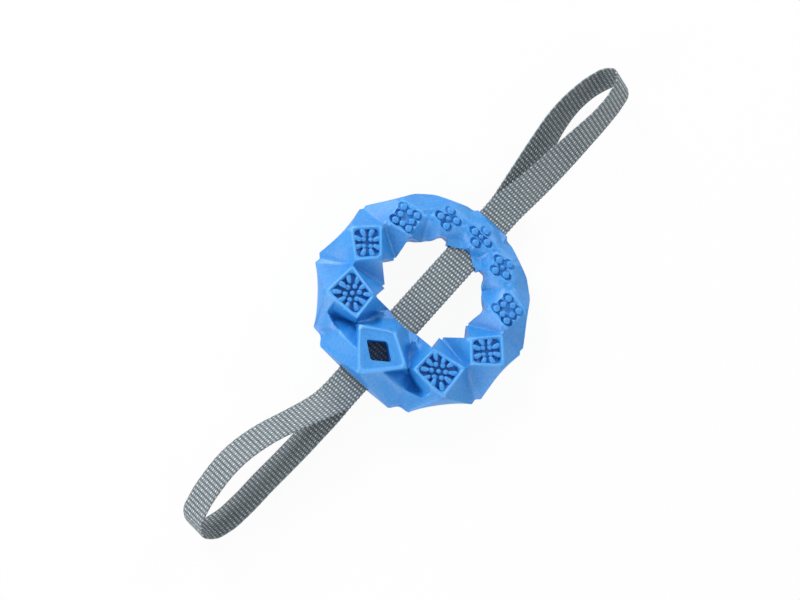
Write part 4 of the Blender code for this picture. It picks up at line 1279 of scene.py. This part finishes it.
def surface_group(name, inputs):
    """A group that gives a colour, roughness and normal from the named vectors and values."""
    outputs = [(label, f"NodeSocket{kind}") for label, kind in SURFACE_OUTPUTS]
    return new_group(name, inputs, outputs)


@cache
def moulded_rubber_group():
    """Moulded rubber: cloudy shade, a fine spark-eroded grain, and a painted highlight on the rims.
    """
    inputs = [("Place", "NodeSocketVector", None), ("Rim", "NodeSocketFloat", 0.0)]
    group, start, end = surface_group("moulded rubber", inputs)
    place = start.outputs["Place"]
    cloud = noise(group, place, 45.0, 4.0)
    grain = noise(group, place, 1400.0, 2.0, 0.7)
    speck = noise(group, place, 640.0, 3.0, 0.65)
    shade = clouded(group, cloud, 0.35, 0.68, RUBBER_SHADES)
    shade = mix_colour(group, ramp(group, speck, 0.40, 0.70, 0.0, 0.60), shade, RUBBER_SPECK)
    # A painted highlight along the rims, made patchy by the specks
    highlight_patchiness = ramp(group, speck, 0.2, 0.6, 0.55, 0.9)
    painted_rim_highlight = math_node(group, "MULTIPLY", start.outputs["Rim"], highlight_patchiness)
    shade = mix_colour(group, painted_rim_highlight, shade, RIM_HIGHLIGHT)
    group.links.new(shade, end.inputs["Color"])
    dull = ramp(group, cloud, 0.3, 0.7, 0.42, 0.52)
    dull = math_node(group, "ADD", dull, ramp(group, grain, 0.3, 0.7, -0.04, 0.06))
    group.links.new(dull, end.inputs["Roughness"])
    height = math_node(group, "ADD", grain, math_node(group, "MULTIPLY", speck, 1.6))
    group.links.new(bumped(group, height, 0.75, 0.00010), end.inputs["Normal"])
    return group


@cache
def plain_weave_group():
    """Plain weave: masks of its ridges and floats, painted highlights on the floats, and filaments
    along the yarns.

    The vector counts ribs and picks, as the webbing's own shape does, so both agree.
    """
    inputs = [("Weave", "NodeSocketVector", None), ("Place", "NodeSocketVector", None)]
    group, start, end = surface_group("plain weave", inputs)
    split = group.nodes.new("ShaderNodeSeparateXYZ")
    group.links.new(start.outputs["Weave"], split.inputs[0])
    ribs, picks = split.outputs[0], split.outputs[1]
    row = math_node(group, "COSINE", math_node(group, "MULTIPLY", picks, math.pi))
    ridge = ramp(group, math_node(group, "ABSOLUTE", row), 0.45, 0.98)
    waves = []
    for turn in (2 * math.pi, 2 * math.pi / 3):
        wave = math_node(group, "COSINE", math_node(group, "MULTIPLY", ribs, turn))
        waves.append(math_node(group, "MULTIPLY", wave, row))
    aside = math_node(group, "ABSOLUTE", ribs)
    face = ramp(group, aside, FACE_RIBS, FACE_RIBS + 0.3, 1.0, 0.25)
    floats = math_node(group, "MULTIPLY", ramp(group, waves[0], 0.30, 0.95), face)
    tall = math_node(group, "MULTIPLY", floats, ramp(group, waves[1], 0.50, 0.98))
    stretch = group.nodes.new("ShaderNodeMapping")
    stretch.inputs["Scale"].default_value = (14.0, 1.6, 1.0)
    group.links.new(start.outputs["Weave"], stretch.inputs[0])
    filament = noise(group, stretch.outputs[0], 1.0, 3.0, 0.6)
    cloud = noise(group, start.outputs["Place"], 70.0, 3.0)
    shade = clouded(group, cloud, 0.3, 0.7, YARN_SHADES)
    shade = mix_colour(group, math_node(group, "MULTIPLY", ridge, 0.85), shade, YARN_RIDGE)
    # Painted highlights: the floats lighter, and every third, tall float brighter still
    shade = mix_colour(group, math_node(group, "MULTIPLY", floats, 0.95), shade, FLOAT_HIGHLIGHT)
    shade = mix_colour(group, tall, shade, clouded(group, filament, 0.3, 0.75, TALL_FLOAT_HIGHLIGHTS))
    group.links.new(shade, end.inputs["Color"])
    group.links.new(ramp(group, filament, 0.3, 0.7, 0.46, 0.62), end.inputs["Roughness"])
    group.links.new(bumped(group, filament, 0.6, 0.00010), end.inputs["Normal"])
    return group


def dressed(name, group, inputs, specular):
    """A material whose Principled shader takes its colour, roughness and normal from a group."""
    material = bpy.data.materials.new(name)
    material.use_nodes = True
    tree = material.node_tree
    node = tree.nodes.new("ShaderNodeGroup")
    node.node_tree = group()
    for label, source in inputs.items():
        tree.links.new(source(tree), node.inputs[label])
    shader = tree.nodes["Principled BSDF"]
    shader.inputs["Specular IOR Level"].default_value = specular
    for label, _ in SURFACE_OUTPUTS:
        target = "Base Color" if label == "Color" else label
        tree.links.new(node.outputs[label], shader.inputs[target])
    return material


def object_place(tree):
    """Object coordinates."""
    return tree.nodes.new("ShaderNodeTexCoord").outputs["Object"]


def attribute(name):
    """A reader of one of the mesh's own attributes."""
    def read(tree):
        node = tree.nodes.new("ShaderNodeAttribute")
        node.attribute_name = name
        return node.outputs["Fac"]
    return read


def weave_map(tree):
    """The webbing's own map of ribs and picks."""
    node = tree.nodes.new("ShaderNodeUVMap")
    node.uv_map = "weave"
    return node.outputs[0]


@cache
def rubber():
    """Blue rubber of the ring."""
    inputs = {"Place": object_place, "Rim": attribute("rim")}
    return dressed("blue_ring_rubber", moulded_rubber_group, inputs, 0.8)


@cache
def webbing():
    """Slate grey woven webbing."""
    inputs = {"Weave": weave_map, "Place": object_place}
    return dressed("slate_webbing", plain_weave_group, inputs, 0.4)


def thread():
    """Dark grey bonded thread."""
    material = bpy.data.materials.new("dark_thread")
    material.use_nodes = True
    tree = material.node_tree
    value = noise(tree, object_place(tree), 2600.0, 2.0)
    shader = tree.nodes["Principled BSDF"]
    tree.links.new(clouded(tree, value, 0.3, 0.7, THREAD_SHADES), shader.inputs["Base Color"])
    tree.links.new(bumped(tree, value, 0.6, 0.0001), shader.inputs["Normal"])
    shader.inputs["Roughness"].default_value = 0.55
    return material


def make_camera():
    """The photograph's camera: nearly overhead, turned so that the band runs up to the right."""
    camera = bpy.data.objects.new("camera", bpy.data.cameras.new("camera"))
    bpy.context.scene.collection.objects.link(camera)
    target = Vector(VIEW_CENTRE)
    roll = math.radians(CAMERA_ROLL_DEG)
    tilt, toward = math.radians(CAMERA_TILT_DEG), math.radians(CAMERA_TILT_TOWARD_DEG) - roll
    aside = Vector((math.cos(toward), math.sin(toward), 0.0))
    back = Vector(UP) * math.cos(tilt) + aside * math.sin(tilt)
    up = Vector((math.sin(roll), math.cos(roll), 0.0))
    right = up.cross(back).normalized()
    up = back.cross(right)
    turn = Matrix((right, up, back)).transposed()
    camera.matrix_world = Matrix.Translation(target + back * CAMERA_DISTANCE) @ turn.to_4x4()
    camera.data.lens = camera.data.sensor_width * CAMERA_DISTANCE / (PIXEL * FRAME_WIDTH_PIXELS)
    bpy.context.scene.camera = camera


def seen_plainly(tree):
    """1 for camera, glossy and transmission rays, and 0 for the others."""
    paths = tree.nodes.new("ShaderNodeLightPath")
    camera, glossy = paths.outputs["Is Camera Ray"], paths.outputs["Is Glossy Ray"]
    seen = math_node(tree, "MAXIMUM", camera, glossy)
    return math_node(tree, "MAXIMUM", seen, paths.outputs["Is Transmission Ray"])


def make_floor():
    """A plain pale floor that the camera sees almost white, and that keeps the toy's shadow."""
    mesh = bpy.data.meshes.new("floor")
    turns = ((-1, -1), (1, -1), (1, 1), (-1, 1))
    corners = [(x * FLOOR_REACH, y * FLOOR_REACH, -FLOOR_DROP) for x, y in turns]
    mesh.from_pydata(corners, [], [(0, 1, 2, 3)])
    material = bpy.data.materials.new("pale_floor")
    material.use_nodes = True
    tree = material.node_tree
    shader = tree.nodes["Principled BSDF"]
    shader.inputs["Base Color"].default_value = FLOOR_GREY
    shader.inputs["Roughness"].default_value = 0.9
    glow = tree.nodes.new("ShaderNodeEmission")
    glow.inputs["Color"].default_value = WHITE
    mixed = tree.nodes.new("ShaderNodeMixShader")
    whiteness = math_node(tree, "MULTIPLY", seen_plainly(tree), FLOOR_WHITENESS)
    tree.links.new(whiteness, mixed.inputs[0])
    tree.links.new(shader.outputs[0], mixed.inputs[1])
    tree.links.new(glow.outputs[0], mixed.inputs[2])
    tree.links.new(mixed.outputs[0], tree.nodes["Material Output"].inputs["Surface"])
    mesh.materials.append(material)
    made("floor", mesh)


def area_lamp(name, place, size, power):
    """A soft square lamp that faces the toy."""
    lamp = bpy.data.lights.new(name, "AREA")
    lamp.size = size
    lamp.energy = power
    holder = made(name, lamp)
    holder.location = place
    holder.rotation_mode = "QUATERNION"
    holder.rotation_quaternion = (Vector(place) - Vector(LAMP_TARGET)).to_track_quat("Z", "Y")


def make_lights():
    """Four soft lamps round the toy, and a grey room that is white where it is seen plainly."""
    for lamp in LAMPS:
        area_lamp(*lamp)
    world = bpy.data.worlds.new("pale_room")
    bpy.context.scene.world = world
    world.use_nodes = True
    tree = world.node_tree
    background = tree.nodes["Background"]
    background.inputs["Strength"].default_value = 1.0
    room = mix_colour(tree, seen_plainly(tree), ROOM_GREY, WHITE)
    tree.links.new(room, background.inputs["Color"])
    bpy.context.scene.view_settings.view_transform = "Standard"


make_camera()
make_ring()
make_webbing()
make_stitching()
make_floor()
make_lights()
